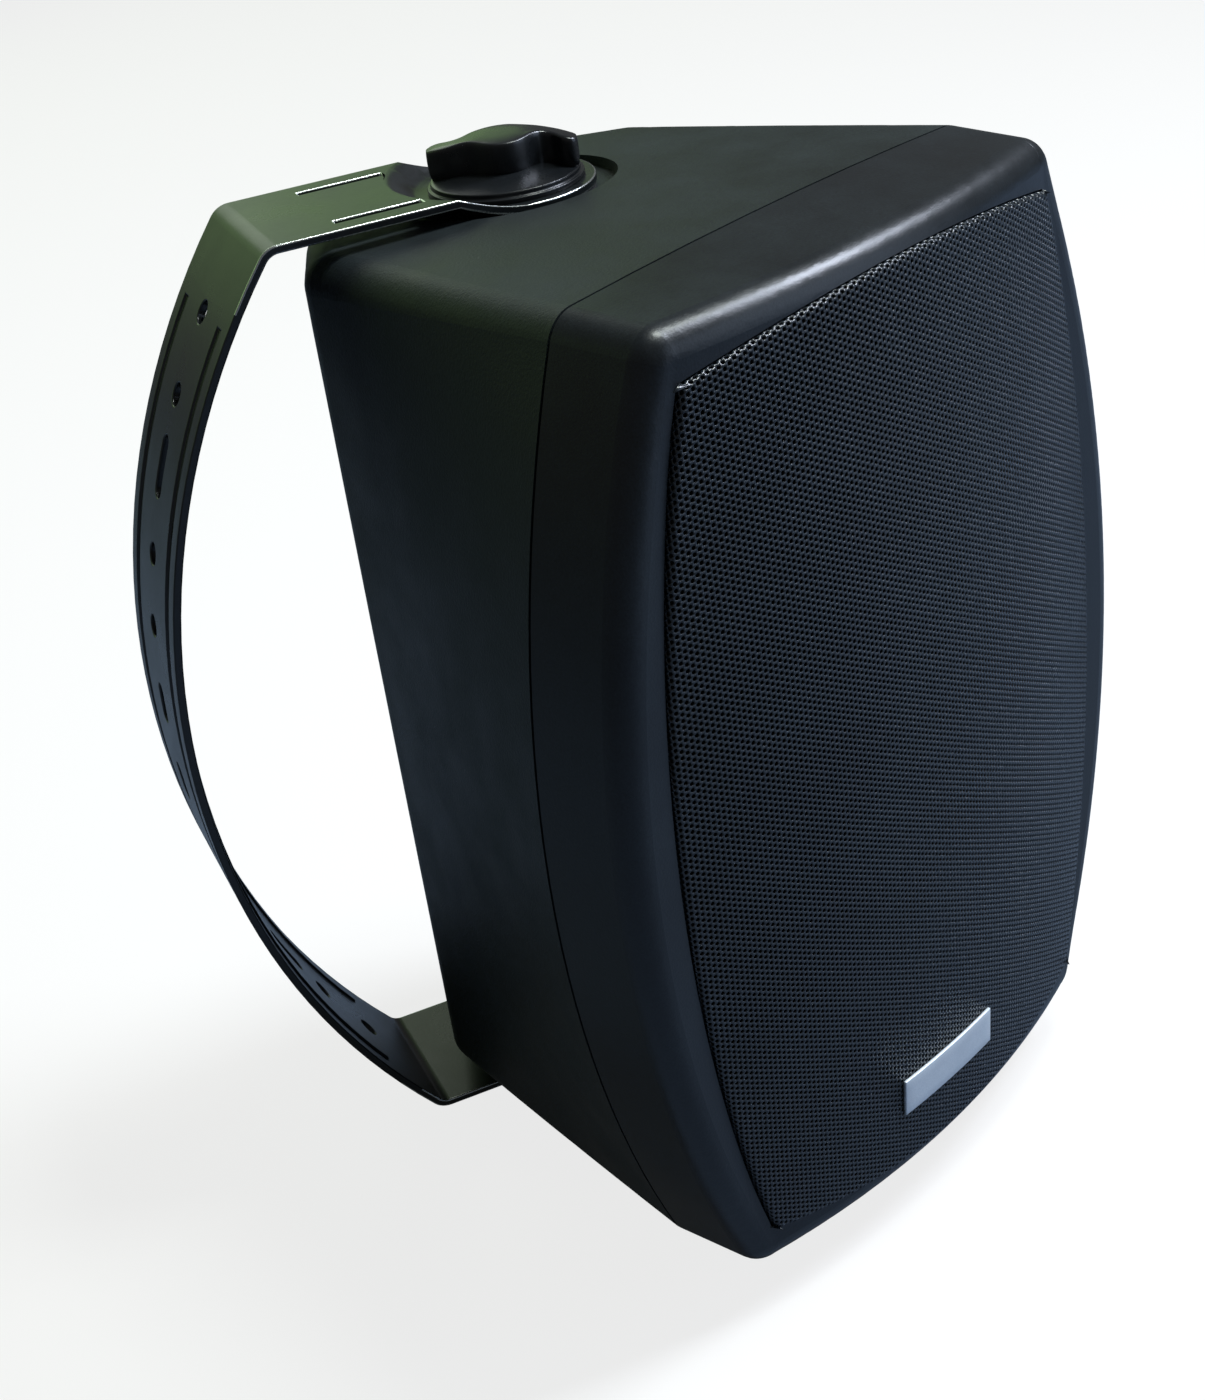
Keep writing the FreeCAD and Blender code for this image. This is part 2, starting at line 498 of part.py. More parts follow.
def front_baffle():
    """Moulded baffle with its bezel, grille recess, rear channel and driver openings."""
    seam = free_sketch("bezel_seam", "front", "0", *seam_outline())
    nose = free_sketch("bezel_front", "front", "-front_past", *seam_outline("bezel_draft"))
    sides = rounded("bezel_sides", lofted("bezel_loft", [seam, nose]), "corner_radius", edges_along_y)
    half, far, back = "bezel_arc_half", "140", "10"
    rise = "(bezel_nose - bezel_rim)"
    arc = f"(bezel_arc_half^2 + {rise}^2) / (2 * {rise})"
    rim = "-bezel_rim"
    plan = free_sketch("bezel_plan", "plan", "0",
                       [(f"-{far}", rim), (f"-{half}", rim), (half, rim), (far, rim), (far, back),
                        (f"-{far}", back)],
                       {1: arc})
    profile = extruded("bezel_profile", plan, Vector(0, 0, 1), "400", symmetric=True)

    def creases(shape):
        tall = [e for e in shape.Edges if e.BoundBox.ZLength > number("2 * seam_half_height")]
        return [e for e in tall if abs(abs(e.BoundBox.XMin) - number(half)) < 1e-3]

    soft = rounded("bezel_soft_profile", profile, "bezel_blend", creases)
    raw = joined("MultiCommon", "bezel_raw", [sides, soft])

    def front_rim(shape):
        chosen = []
        for edge in shape.Edges:
            faces = shape.ancestorsOfType(edge, Part.Face)
            facing = [f.normalAt(*f.Surface.parameter(edge.CenterOfMass)).y < -0.7 for f in faces]
            if facing.count(True) == 1 and facing.count(False) == 1:
                chosen.append(edge)
        return chosen

    bezel = rounded("bezel", raw, "bezel_edge_radius", front_rim)
    recess = prism("bezel_recess", recess_outline(), "front_past", "front_past - floor_front",
                   "recess_corner")
    hollow = prism("bezel_hollow", seam_outline("case_wall"), FLOOR_BACK, f"{FLOOR_BACK} + cut_past",
                   "corner_radius - case_wall")
    channel_length = f"channel_depth - {FLOOR_BACK} + cut_past"
    channel = cut("bezel_channel",
                  prism("bezel_channel_out", seam_outline("case_wall"), "channel_depth", channel_length,
                        "corner_radius - case_wall"),
                  prism("bezel_channel_in", recess_outline("-bezel_lip"), "channel_depth + cut_past",
                        f"{channel_length} + 2 * cut_past", "recess_corner + bezel_lip"))
    open_bezel = cut("bezel_open", bezel, [recess, hollow, channel])
    bosses = rods("baffle_boss", BAFFLE_SCREWS, "boss_radius", f"{FLOOR_BACK} + floor_thickness / 2",
                  f"-{FLOOR_BACK} - floor_thickness / 2")
    full = joined("MultiFuse", "baffle_full", [open_bezel] + bosses)
    through = "floor_thickness + 2 * cut_past"
    start = "-floor_front - cut_past"
    holes = [rod("baffle_woofer_hole", "woofer_cutout", through, "0", start, "-woofer_drop"),
             rod("baffle_tweeter_hole", "tweeter_cutout", through, "0", start, "tweeter_rise"),
             rod("baffle_port_hole", "port_bore + port_wall + screw_play", through, "port_shift", start,
                 "port_rise")]
    holes += rods("baffle_clearance", BAFFLE_SCREWS, "screw_radius + screw_clearance",
                  "floor_front + 2 * cut_past", start)
    holes += rods("baffle_woofer_pilot", WOOFER_SCREWS, "screw_radius + screw_play", through, start)
    holes += rods("baffle_tweeter_pilot", TWEETER_SCREWS, "screw_radius + screw_play", through, start)
    node("front_baffle", cut("baffle", full, holes))


def baffle_gasket():
    """Sealing ring between the rims of baffle and cabinet, set back from the seam."""
    outer = prism("gasket_outer", seam_outline("gasket_inset"), "0", "seam_gap",
                  "corner_radius - gasket_inset")
    inner = prism("gasket_inner", seam_outline("(gasket_inset + gasket_width)"), "1",
                  "seam_gap + 2 * cut_past",
                  "corner_radius - gasket_inset - gasket_width")
    node("baffle_gasket", cut("gasket", outer, inner))


def grille_and_badge():
    """Crowned sheet with a return flange, the scrim behind it and the bare badge plate."""
    depth = "front_past - floor_front"
    face = crown_solid("grille_face", "0")
    under = crown_solid("grille_under", "grille_sheet")
    plug = prism("grille_plug", recess_outline("grille_fit"), "front_past", depth, "recess_corner")
    core = prism("grille_core", recess_outline("(grille_fit + grille_sheet)"), "front_past",
                 f"{depth} + cut_past",
                 "recess_corner - grille_sheet")
    cap = joined("MultiCommon", "grille_cap", [plug, face])
    node("grille", cut("grille_shell", cap, joined("MultiCommon", "grille_inside", [core, under])))
    cloth = joined("MultiCommon", "scrim_full", [
        prism("scrim_plug", recess_outline("(grille_fit + grille_sheet)"), "front_past", depth,
              "recess_corner - grille_sheet"),
        crown_solid("scrim_face", "grille_sheet")])
    node("grille_scrim", cut("scrim", cloth, crown_solid("scrim_under",
                                                         "(grille_sheet + scrim_thickness)")))
    slab = block("badge_slab", ("badge_width", "30", "badge_height"),
                 ("-badge_width / 2 - badge_shift", "-front_past", "-badge_drop - badge_height / 2"))
    raised = joined("MultiCommon", "badge_raised", [slab, crown_solid("badge_face", "(-badge_thickness)")])
    node("badge_plate", cut("badge", raised, crown_solid("badge_seat", "0")))


def woofer():
    """Low-frequency driver: basket, moving parts and motor, all turned about one axis."""
    face = f"-{WOOFER_FACE}"
    rear = f"{face} + woofer_flange"
    throat = "gap_radius + coil_clearance"
    raw = turned("basket_raw", "XY_Plane", [
        ("woofer_cutout - basket_lip", face), ("woofer_radius", face), ("woofer_radius", rear),
        ("woofer_cutout - basket_taper", rear), ("basket_foot + basket_sheet", "basket_depth"),
        (throat, "basket_depth"),
        (throat, "basket_depth - basket_sheet"), ("basket_foot", "basket_depth - basket_sheet"),
        ("basket_foot", "spider_depth"), ("basket_foot + basket_ledge", "spider_depth")])
    wide, deep = "2 * woofer_radius", "basket_window_depth"
    low = "-basket_window_front"
    windows = [block("basket_window_across", (wide, deep, "basket_window"),
                     ("-woofer_radius", low, "-basket_window / 2")),
               block("basket_window_upright", ("basket_window", deep, wide),
                     ("-basket_window / 2", low, "-woofer_radius"))]
    holes = rods("basket_hole", bolt_circle(4, "woofer_bolt_circle", "0", 45),
                 "screw_radius + screw_clearance",
                 "woofer_flange + 2 * cut_past", f"{face} - cut_past")
    place = {"z": "-woofer_drop"}
    node("woofer_basket", cut("basket", raw, windows + holes), **place)

    ring = turned("woofer_gasket_raw", "XY_Plane", [
        ("woofer_cutout + gasket_setback", rear), ("woofer_radius", rear),
        ("woofer_radius", "-floor_front"),
        ("woofer_cutout + gasket_setback", "-floor_front")])
    ring_holes = rods("woofer_gasket_hole", bolt_circle(4, "woofer_bolt_circle", "0", 45),
                      "screw_radius + screw_clearance", "woofer_gasket_thickness + 2 * cut_past",
                      f"{rear} - cut_past")
    node("woofer_gasket", cut("woofer_ring", ring, ring_holes), **place)

    middle = "(cone_radius + roll_radius + roll_gap)"
    foot = f"{face} - roll_sheet"
    bend = "1.03 * roll_radius"
    node("woofer_surround", turned("surround", "XY_Plane", [
        ("cone_radius - roll_seat", foot), (f"{middle} - roll_radius", foot),
        (f"{middle} + roll_radius", foot),
        ("woofer_cutout + gasket_setback", foot), ("woofer_cutout + gasket_setback", face),
        (f"{middle} + roll_radius - roll_sheet", face),
        (f"{middle} + roll_radius - roll_sheet", foot), (f"{middle} - roll_radius + roll_sheet", foot),
        (f"{middle} - roll_radius + roll_sheet", face), ("cone_radius - roll_seat", face)],
        {1: bend, 6: "-1.03 * (roll_radius - roll_sheet)"}), **place)

    neck = "(coil_radius + coil_wall)"
    skin = "1.4 * cone_sheet"
    node("woofer_cone", turned("cone", "XY_Plane", [
        ("cone_radius - cone_seat", face), ("cone_radius", face), ("cone_radius", f"{face} + {skin}"),
        ("cone_radius - cone_seat + cone_sheet / 3", f"{face} + {skin}"),
        (neck, f"{face} + cone_depth + {skin}"),
        (neck, f"{face} + cone_depth")]), **place)

    slope = f"cone_depth / (cone_radius - cone_seat - {neck})"
    rim = f"({face} + (cone_radius - cone_seat - cap_radius) * {slope})"
    bulge = "(cap_radius^2 + cap_rise^2) / (2 * cap_rise)"
    inner = "(cap_radius - cone_sheet)"
    node("woofer_dust_cap", turned("dust_cap", "XY_Plane", [
        ("0", f"{rim} - cap_rise"), ("cap_radius", rim), (inner, rim),
        ("0", f"{rim} - cap_rise + cone_sheet")],
        {0: bulge, 2: f"-({inner}^2 + (cap_rise - cone_sheet)^2) / (2 * (cap_rise - cone_sheet))"}), **place)

    wind_low = "(basket_depth + plate_thickness / 2 - coil_height / 2)"
    wind_high = f"({wind_low} + coil_height)"
    wound = f"({neck} + coil_winding)"
    top = f"{face} + cone_depth - coil_overlap"
    node("voice_coil", turned("coil", "XY_Plane", [
        ("coil_radius", top), (neck, top), (neck, wind_low), (wound, wind_low), (wound, wind_high),
        ("coil_radius", wind_high)]), **place)

    edge = "basket_foot + spider_gap"
    ridge = [(neck, "0"), (f"{neck} + spider_step", "-spider_wave"),
             (f"{neck} + 2 * spider_step", "spider_wave"),
             (f"{neck} + 3 * spider_step", "-spider_wave"), (edge, "0"), (f"{edge} + spider_seat", "0")]
    lower = [(r, f"spider_depth - spider_sheet + {y}") for r, y in ridge]
    upper = [(r, f"spider_depth + {y}") for r, y in reversed(ridge)]
    node("woofer_spider", turned("spider", "XY_Plane", lower + upper), **place)

    plate_back = "(basket_depth + plate_thickness)"
    node("woofer_top_plate", turned("top_plate", "XY_Plane", [
        ("gap_radius", "basket_depth"), ("plate_radius", "basket_depth"), ("plate_radius", plate_back),
        ("gap_radius", plate_back)]), **place)
    node("woofer_magnet", turned("magnet", "XY_Plane", [
        ("magnet_bore", plate_back), ("magnet_radius", plate_back), ("magnet_radius", MOTOR_BACK),
        ("magnet_bore", MOTOR_BACK)]), **place)
    node("woofer_pole_yoke", turned("pole_yoke", "XY_Plane", [
        ("0", "basket_depth - pole_rise"), ("pole_radius", "basket_depth - pole_rise"),
        ("pole_radius", MOTOR_BACK),
        ("plate_radius", MOTOR_BACK), ("plate_radius", f"{MOTOR_BACK} + plate_thickness"),
        ("0", f"{MOTOR_BACK} + plate_thickness")]), **place)


def tweeter():
    """High-frequency driver: flared face plate, dome and motor."""
    place = {"z": "tweeter_rise"}
    seat = "-floor_front"
    face = f"{seat} - tweeter_plate"
    plate = turned("tweeter_plate_raw", "XY_Plane", [
        ("tweeter_flare", face), ("tweeter_radius", face), ("tweeter_radius", seat),
        ("tweeter_throat", seat),
        ("tweeter_throat", f"{seat} - throat_lip")])
    holes = rods("tweeter_plate_hole", bolt_circle(3, "tweeter_bolt_circle", "0", 90),
                 "screw_radius + screw_clearance", "tweeter_plate + 2 * cut_past", f"{face} - cut_past")
    node("tweeter_faceplate", cut("tweeter_face", plate, holes), **place)
    inner = "(dome_radius - dome_sheet)"
    back = f"({seat} + dome_sheet)"
    node("tweeter_dome", turned("dome", "XY_Plane", [
        ("0", f"{seat} - dome_rise"), ("dome_radius", seat), ("dome_foot", seat), ("dome_foot", back),
        (inner, back), ("0", f"{back} - dome_rise")],
        {0: "(dome_radius^2 + dome_rise^2) / (2 * dome_rise)",
         4: f"-({inner}^2 + dome_rise^2) / (2 * dome_rise)"}), **place)
    magnet_front = f"({back} + tweeter_steel)"
    magnet_back = f"({magnet_front} + tweeter_magnet_height)"
    node("tweeter_top_plate", turned("tweeter_top", "XY_Plane", [
        ("tweeter_gap", back), ("tweeter_motor", back), ("tweeter_motor", magnet_front),
        ("tweeter_gap", magnet_front)]), **place)
    node("tweeter_magnet", turned("tweeter_ring", "XY_Plane", [
        ("tweeter_gap + tweeter_step", magnet_front), ("tweeter_motor", magnet_front),
        ("tweeter_motor", magnet_back),
        ("tweeter_gap + tweeter_step", magnet_back)]), **place)
    node("tweeter_pole_yoke", turned("tweeter_yoke", "XY_Plane", [
        ("0", f"{back} + tweeter_pole_gap"), ("tweeter_pole", f"{back} + tweeter_pole_gap"),
        ("tweeter_pole", magnet_back),
        ("tweeter_motor - tweeter_step", magnet_back),
        ("tweeter_motor - tweeter_step", f"{magnet_back} + tweeter_steel"),
        ("0", f"{magnet_back} + tweeter_steel")]), **place)


def bass_port():
    """Flanged tube through the baffle."""
    seat = "-floor_front"
    front = f"{seat} - port_flange_height"
    outside = "(port_bore + port_wall)"
    node("bass_port", turned("port", "XY_Plane", [
        ("port_bore", front), ("port_flange", front), ("port_flange", seat), (outside, seat),
        (outside, f"{seat} + port_length"), ("port_bore", f"{seat} + port_length")]),
        x="port_shift", z="port_rise")


def crossover():
    """Filter board on standoffs behind the tweeter, with its parts."""
    plate = block("board_plate", ("2 * board_half_width", "board_thickness", "2 * board_half_height"),
                  ("-board_half_width", BOARD_FRONT, "board_rise - board_half_height"))
    holes = rods("board_hole", BOARD_SCREWS, "screw_radius + screw_clearance",
                 "board_thickness + 2 * cut_past", f"{BOARD_FRONT} - cut_past")
    node("crossover_board", cut("board", plate, holes))
    node("crossover_inductor", turned("inductor", "XY_Plane", [
        ("inductor_bore", "-inductor_height"), ("inductor_radius", "-inductor_height"),
        ("inductor_radius", "0"),
        ("inductor_bore", "0")]), x="-inductor_radius", y=BOARD_FRONT, z="board_rise - inductor_drop")
    cans = [rod(f"capacitor_{i}", "capacitor_radius", "capacitor_length", f"{x} * capacitor_radius",
                f"{BOARD_FRONT} - capacitor_length", "board_rise + capacitor_rise")
            for i, x in enumerate((1.5, 3.8))]
    gathered("crossover_capacitors", cans)
    node("crossover_resistor", block("resistor", ("resistor_length", "resistor_side", "resistor_side"),
                                     ("0", "0", "0")),
         x="resistor_shift", y=f"{BOARD_FRONT} - resistor_side", z="board_rise - resistor_drop")


def terminals():
    """Terminal plate in its pocket, two posts and their screw caps."""
    back = f"({POCKET_FLOOR} + terminal_plate)"
    width = "(pocket_half_width - terminal_margin)"
    height = "(pocket_half_height - terminal_margin)"
    seats = [(f"{side} * post_spacing / 2", "-pocket_drop") for side in (-1, 1)]
    plate = block("terminal_sheet", (f"2 * {width}", "terminal_plate", f"2 * {height}"),
                  (f"-{width}", POCKET_FLOOR, f"-pocket_drop - {height}"))
    collars = rods("terminal_collar", seats, "collar_radius", "collar_height + terminal_plate / 2",
                   f"{back} - terminal_plate / 2")
    holes = rods("terminal_screw_hole", TERMINAL_SCREWS, "screw_radius + screw_clearance",
                 "terminal_plate + 2 * cut_past",
                 f"{POCKET_FLOOR} - cut_past")
    holes += rods("terminal_post_hole", seats, "post_radius", "cut_far", f"{POCKET_FLOOR} - cut_past")
    node("terminal_plate", cut("terminal", joined("MultiFuse", "terminal_full", [plate] + collars), holes))
    gathered("terminal_posts", rods("post", seats, "post_radius", "post_tail + terminal_plate + post_reach",
                                    f"{POCKET_FLOOR} - post_tail"))
    for label, (x, z) in zip(("terminal_cap_black", "terminal_cap_red"), seats):
        bore, rim = "(post_radius + stud_play)", "cap_nut_radius"
        node(label, turned(f"{label}_turned", "XY_Plane", [
            (bore, "0"), (f"{rim} - cap_chamfer", "0"), (rim, "cap_chamfer"),
            (rim, "cap_nut_length - cap_chamfer"),
            (f"{rim} - cap_chamfer", "cap_nut_length"), (bore, "cap_nut_length")]),
            x=x, y=f"{back} + collar_height", z=z)


def arm_hole(name, place, side, half_length):
    """Cutter for a round hole or a slot through the arm at a length of arc from its middle."""
    angle = f"({side} * {place} / {ARM_RADIUS} * 180 / pi)"
    start = f"({ARM_RADIUS} - 10)"
    if half_length is None:
        cutter = doc.addObject("Part::Cylinder", name)
        bind(cutter, Radius="hole_radius", Height="cut_far")
        frame = cutter
    else:
        frame = doc.addObject("Sketcher::SketchObject", f"{name}_outline")
        w, long = "slot_half_width", f"({half_length} / 2 - slot_half_width)"
        draw_loop(frame, [(f"-{w}", f"-{long}"), (w, f"-{long}"), (w, long), (f"-{w}", long)],
                  {0: f"1.01 * {w}", 2: f"1.01 * {w}"})
        cutter = doc.addObject("Part::Extrusion", name)
        cutter.Base = frame
        cutter.DirMode = "Normal"
        cutter.Solid = True
        bind(cutter, LengthFwd="cut_far")
    frame.Placement = Placement(Vector(), Rotation(Vector(-1, 0, 0), 90))
    bind(frame, Placement__Rotation__Angle=f"(90 - {angle}) * 1 deg")
    move(frame, "0", f"{ARM_CENTER} + {start} * cos({angle})", f"{start} * sin({angle})")
    return cutter


def arm_band(name, side, low, high):
    """Narrow ring segment that follows the arm, for a swaged groove or its bead."""
    x = f"{side} * groove_offset"
    w = "groove_width / 2"
    outline = [(f"{x} - {w}", low), (f"{x} + {w}", low), (f"{x} + {w}", high), (f"{x} - {w}", high)]
    band = doc.addObject("Part::Revolution", name)
    band.Source = free_sketch(f"{name}_section", "plan", "0", outline)
    band.Axis = Vector(1, 0, 0)
    band.Symmetric = True
    band.Solid = True
    return bind(band, Base__y=ARM_CENTER, Angle="2 * groove_end_angle")


def bracket():
    """Strip bent to a C with dished round ends, slots, wall holes and swaged grooves."""
    inner_radius = f"({ARM_RADIUS} - strip_sheet)"
    inside = f"({TAB_HEIGHT} - strip_sheet)"
    inner_length = f"({ARM_CENTER} + sqrt({inner_radius}^2 - {inside}^2))"
    side_view = free_sketch("strip_profile", "side", "0", [
        ("0", f"-{TAB_HEIGHT}"), ("tab_length", f"-{TAB_HEIGHT}"), ("tab_length", TAB_HEIGHT),
        ("0", TAB_HEIGHT),
        ("0", inside), (inner_length, inside), (inner_length, f"-{inside}"), ("0", f"-{inside}")],
        {1: ARM_RADIUS, 5: f"-{inner_radius}"})
    strip = extruded("strip", side_view, Vector(1, 0, 0), "strip_width", symmetric=True)

    def bend_edges(length, height):
        def choose(shape):
            near = 0.01
            return [e for e in shape.Edges if e.BoundBox.XLength > 0.9 * number("strip_width")
                    and abs(e.BoundBox.YMin - number(length)) < near
                    and abs(abs(e.BoundBox.ZMax) - number(height)) < near]
        return choose

    outer_bend = rounded("strip_outer_bend", strip, "bend_radius + strip_sheet",
                         bend_edges("tab_length", TAB_HEIGHT))
    bent = rounded("strip_bent", outer_bend, "bend_radius", bend_edges(inner_length, inside))
    clear = rod("dish_clear", "dish_rim", TABS_THROUGH, z=TABS_START,
                turn=PLAN)
    hole = "(stud_radius + stud_play)"
    section = [(hole, f"{DISH_LEVEL} - strip_sheet"), ("dish_radius", f"{DISH_LEVEL} - strip_sheet"),
               ("dish_rim", inside), ("dish_rim", TAB_HEIGHT), ("dish_radius", DISH_LEVEL),
               (hole, DISH_LEVEL)]
    dishes = [turned(f"dish_{name}", "XZ_Plane", section) for name in ("top", "bottom")]
    dishes[1].Placement = Placement(Vector(), Rotation(Vector(1, 0, 0), 180))
    beads = [arm_band(f"bead_{side + 1}", side, f"{ARM_CENTER} + {inner_radius} - groove_depth",
                      f"{ARM_CENTER} + {inner_radius} + strip_sheet / 4") for side in (-1, 1)]
    full = joined("MultiFuse", "bracket_full", [cut("bracket_tabs", bent, clear)] + dishes + beads)
    reach = joined("MultiFuse", "bracket_outline", [
        rod("bracket_round_end", "strip_width / 2", TABS_THROUGH,
            z=TABS_START, turn=PLAN),
        block("bracket_run", ("strip_width", "tab_length + arm_bow + cut_past", TABS_THROUGH),
              ("-strip_width / 2", "0", TABS_START))])
    trimmed = joined("MultiCommon", "bracket_trimmed", [full, reach])
    cutters = []
    for side in (-1, 1):
        cutters.append(block(f"tab_slot_{side + 1}",
                             ("tab_slot_width", "tab_slot_length", TABS_THROUGH),
                             (f"{side} * tab_slot_offset - tab_slot_width / 2", "tab_slot_start",
                              TABS_START)))
        cutters.append(arm_band(f"groove_{side + 1}", side, f"{ARM_CENTER} + {ARM_RADIUS} - groove_depth",
                                f"{ARM_CENTER} + {ARM_RADIUS} + cut_past"))
        for name in ("hole_near", "hole_second", "hole_third", "hole_far"):
            cutters.append(arm_hole(f"{name}_{side + 1}", name, side, None))
        cutters.append(arm_hole(f"short_slot_{side + 1}", "short_slot_place", side, "short_slot"))
        cutters.append(arm_hole(f"long_slot_{side + 1}", "long_slot_place", side, "long_slot"))
    final = cut("bracket", trimmed, cutters)
    final.Placement = Placement(Vector(), Rotation(Vector(0, 0, 1), number("swivel_rest")))
    bind(final, Placement__Rotation__Angle="swivel_rest * 1 deg")
    node("bracket", final, y="pivot_depth")


def clamp_knob(label):
    """Wing knob: stepped flange, sloping skirt, round hub and two arms bent opposite ways."""
    shoulder = f"({DISH_LEVEL} + knob_flange_height)"
    skirt_foot = f"({shoulder} + knob_step_height)"
    skirt_top = f"({skirt_foot} + skirt_rise)"
    top = f"({DISH_LEVEL} + knob_height)"
    base = turned(f"{label}_knob_base", "XZ_Plane", [
        ("stud_radius", DISH_LEVEL), ("knob_flange", DISH_LEVEL), ("knob_flange", shoulder),
        ("knob_step", shoulder),
        ("knob_step", skirt_foot), ("hub_radius", skirt_top), ("stud_radius", skirt_top)])
    envelope = turned(f"{label}_knob_envelope", "XZ_Plane", [
        ("0", shoulder), ("knob_step", shoulder), ("knob_step", f"{top} - knob_fall"), ("hub_flat", top),
        ("0", top)])
    tall = f"{top} - {shoulder}"
    wing = [rod(f"{label}_knob_hub", "hub_radius", tall, z=shoulder, turn=PLAN),
            block(f"{label}_knob_bar", ("2 * wing_end_reach", "2 * wing_half_thickness", tall),
                  ("-wing_end_reach", "-wing_half_thickness", shoulder))]
    for side in (-1, 1):
        wing.append(rod(f"{label}_knob_end_{side + 1}", "wing_end_radius", tall, f"{side} * wing_end_reach",
                        f"{-side} * wing_end_offset", shoulder, PLAN))
    plan = joined("MultiFuse", f"{label}_knob_plan", wing)

    def hub_corners(shape):
        return [e for e in shape.Edges if e.BoundBox.ZLength > number("skirt_rise")
                and abs(math.hypot(e.BoundBox.Center.x, e.BoundBox.Center.y) - number("hub_radius")) < 0.05
                and abs(abs(e.BoundBox.Center.y) - number("wing_half_thickness")) < 0.05]

    blended = rounded(f"{label}_knob_blended", plan, "wing_blend", hub_corners)
    grip = joined("MultiCommon", f"{label}_knob_grip", [blended, envelope])
    socket = rod(f"{label}_knob_socket", "stud_radius", "knob_height - stud_cover", z=DISH_LEVEL, turn=PLAN)
    return joined("MultiFuse", f"{label}_knob_body", [base, cut(f"{label}_knob_hollow", grip, socket)])


def clamps():
    """Clamp knobs on their studs, the inserts they screw into and the friction washers."""
    for label in ("top", "bottom"):
        stud = rod(f"{label}_stud_rod", "stud_radius",
                   f"{DISH_LEVEL} + knob_height - stud_cover - {CLAMP_SEAT} + stud_grip",
                   z=f"{CLAMP_SEAT} - stud_grip", turn=PLAN)
        for name, piece in (("knob", clamp_knob(label)), ("stud", stud)):
            holder = gathered_single(f"{label}_{name}_placed", piece)
            turn = Rotation(Vector(0, 0, 1), number("knob_rest"))
            flip = Rotation(Vector(1, 0, 0), 180) if label == "bottom" else PLAN
            holder.Placement = Placement(Vector(), turn * flip)
            node(f"{label}_{name}", holder, y="pivot_depth")
    inserts, washers = [], []
    for side in (-1, 1):
        low = f"{CLAMP_SEAT} - insert_length" if side > 0 else f"-{CLAMP_SEAT}"
        ring = rod(f"insert_ring_{side + 1}", "insert_radius", "insert_length", "0", "pivot_depth", low,
                   PLAN)
        bore = rod(f"insert_bore_{side + 1}", "stud_radius + stud_play / 2", "insert_length + 2 * cut_past",
                   "0", "pivot_depth",
                   f"{low} - cut_past", PLAN)
        inserts.append(cut(f"insert_{side + 1}", ring, bore))
        low = CLAMP_SEAT if side > 0 else f"-{CLAMP_SEAT} - washer_thickness"
        disc = rod(f"washer_disc_{side + 1}", "dish_radius - washer_play", "washer_thickness", "0",
                   "pivot_depth", low, PLAN)
        eye = rod(f"washer_eye_{side + 1}", "insert_radius + washer_play",
                  "washer_thickness + 2 * cut_past", "0", "pivot_depth",
                  f"{low} - cut_past", PLAN)
        washers.append(cut(f"washer_{side + 1}", disc, eye))
    gathered("threaded_inserts", inserts)
    gathered("friction_washers", washers)


def gathered_single(name, piece):
    """Placeable copy of one finished solid."""
    holder = doc.addObject("Part::Compound", name)
    holder.Links = [piece]
    return holder


def fasteners():
    """Screw groups that hold the baffle, drivers, board and terminal plate."""
    screws("baffle_screws", BAFFLE_SCREWS, "-floor_front", "baffle_screw_length")
    screws("woofer_screws", WOOFER_SCREWS, f"-{WOOFER_FACE}",
           "woofer_flange + woofer_gasket_thickness + floor_thickness")
    screws("tweeter_screws", TWEETER_SCREWS, "-floor_front - tweeter_plate",
           "tweeter_plate + floor_thickness")
    screws("crossover_screws", BOARD_SCREWS, BOARD_FRONT,
           "board_thickness + standoff_height - board_screw_spare")
    screws("terminal_screws", TERMINAL_SCREWS, f"{POCKET_FLOOR} + terminal_plate",
           "terminal_plate + case_wall - terminal_screw_spare",
           toward_back=True)


def write_parts():
    """Check every object and sub-part, then write one STEP file for each node."""
    doc.recompute()
    failed = [thing.Name for thing in doc.Objects if {"Invalid", "Error"} & set(thing.State)]
    if failed:
        raise RuntimeError(f"objects failed: {failed}")
    for thing in nodes:
        if thing.Shape.isNull() or not thing.Shape.isValid():
            raise RuntimeError(f"bad shape: {thing.Label}")
    os.makedirs("parts", exist_ok=True)
    for thing in nodes:
        thing.Shape.exportStep(os.path.join("parts", f"{thing.Label}.step"))


fill_sheet()
rear_cabinet()
front_baffle()
baffle_gasket()
grille_and_badge()
woofer()
tweeter()
bass_port()
crossover()
terminals()
bracket()
clamps()
fasteners()
write_parts()
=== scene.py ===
"""Looks of a wall loudspeaker: perforated grille, moulded cabinet, strip bracket and clamp knobs.

The construction is loaded as a fixed frame. This script models the fine pieces that give the
object its look, dresses every surface, and sets the camera, the floor and the studio light.
"""
import json
import logging
import math
from dataclasses import dataclass, field
from enum import Enum
from typing import Any

import bmesh
import bpy
from mathutils import Matrix, Vector


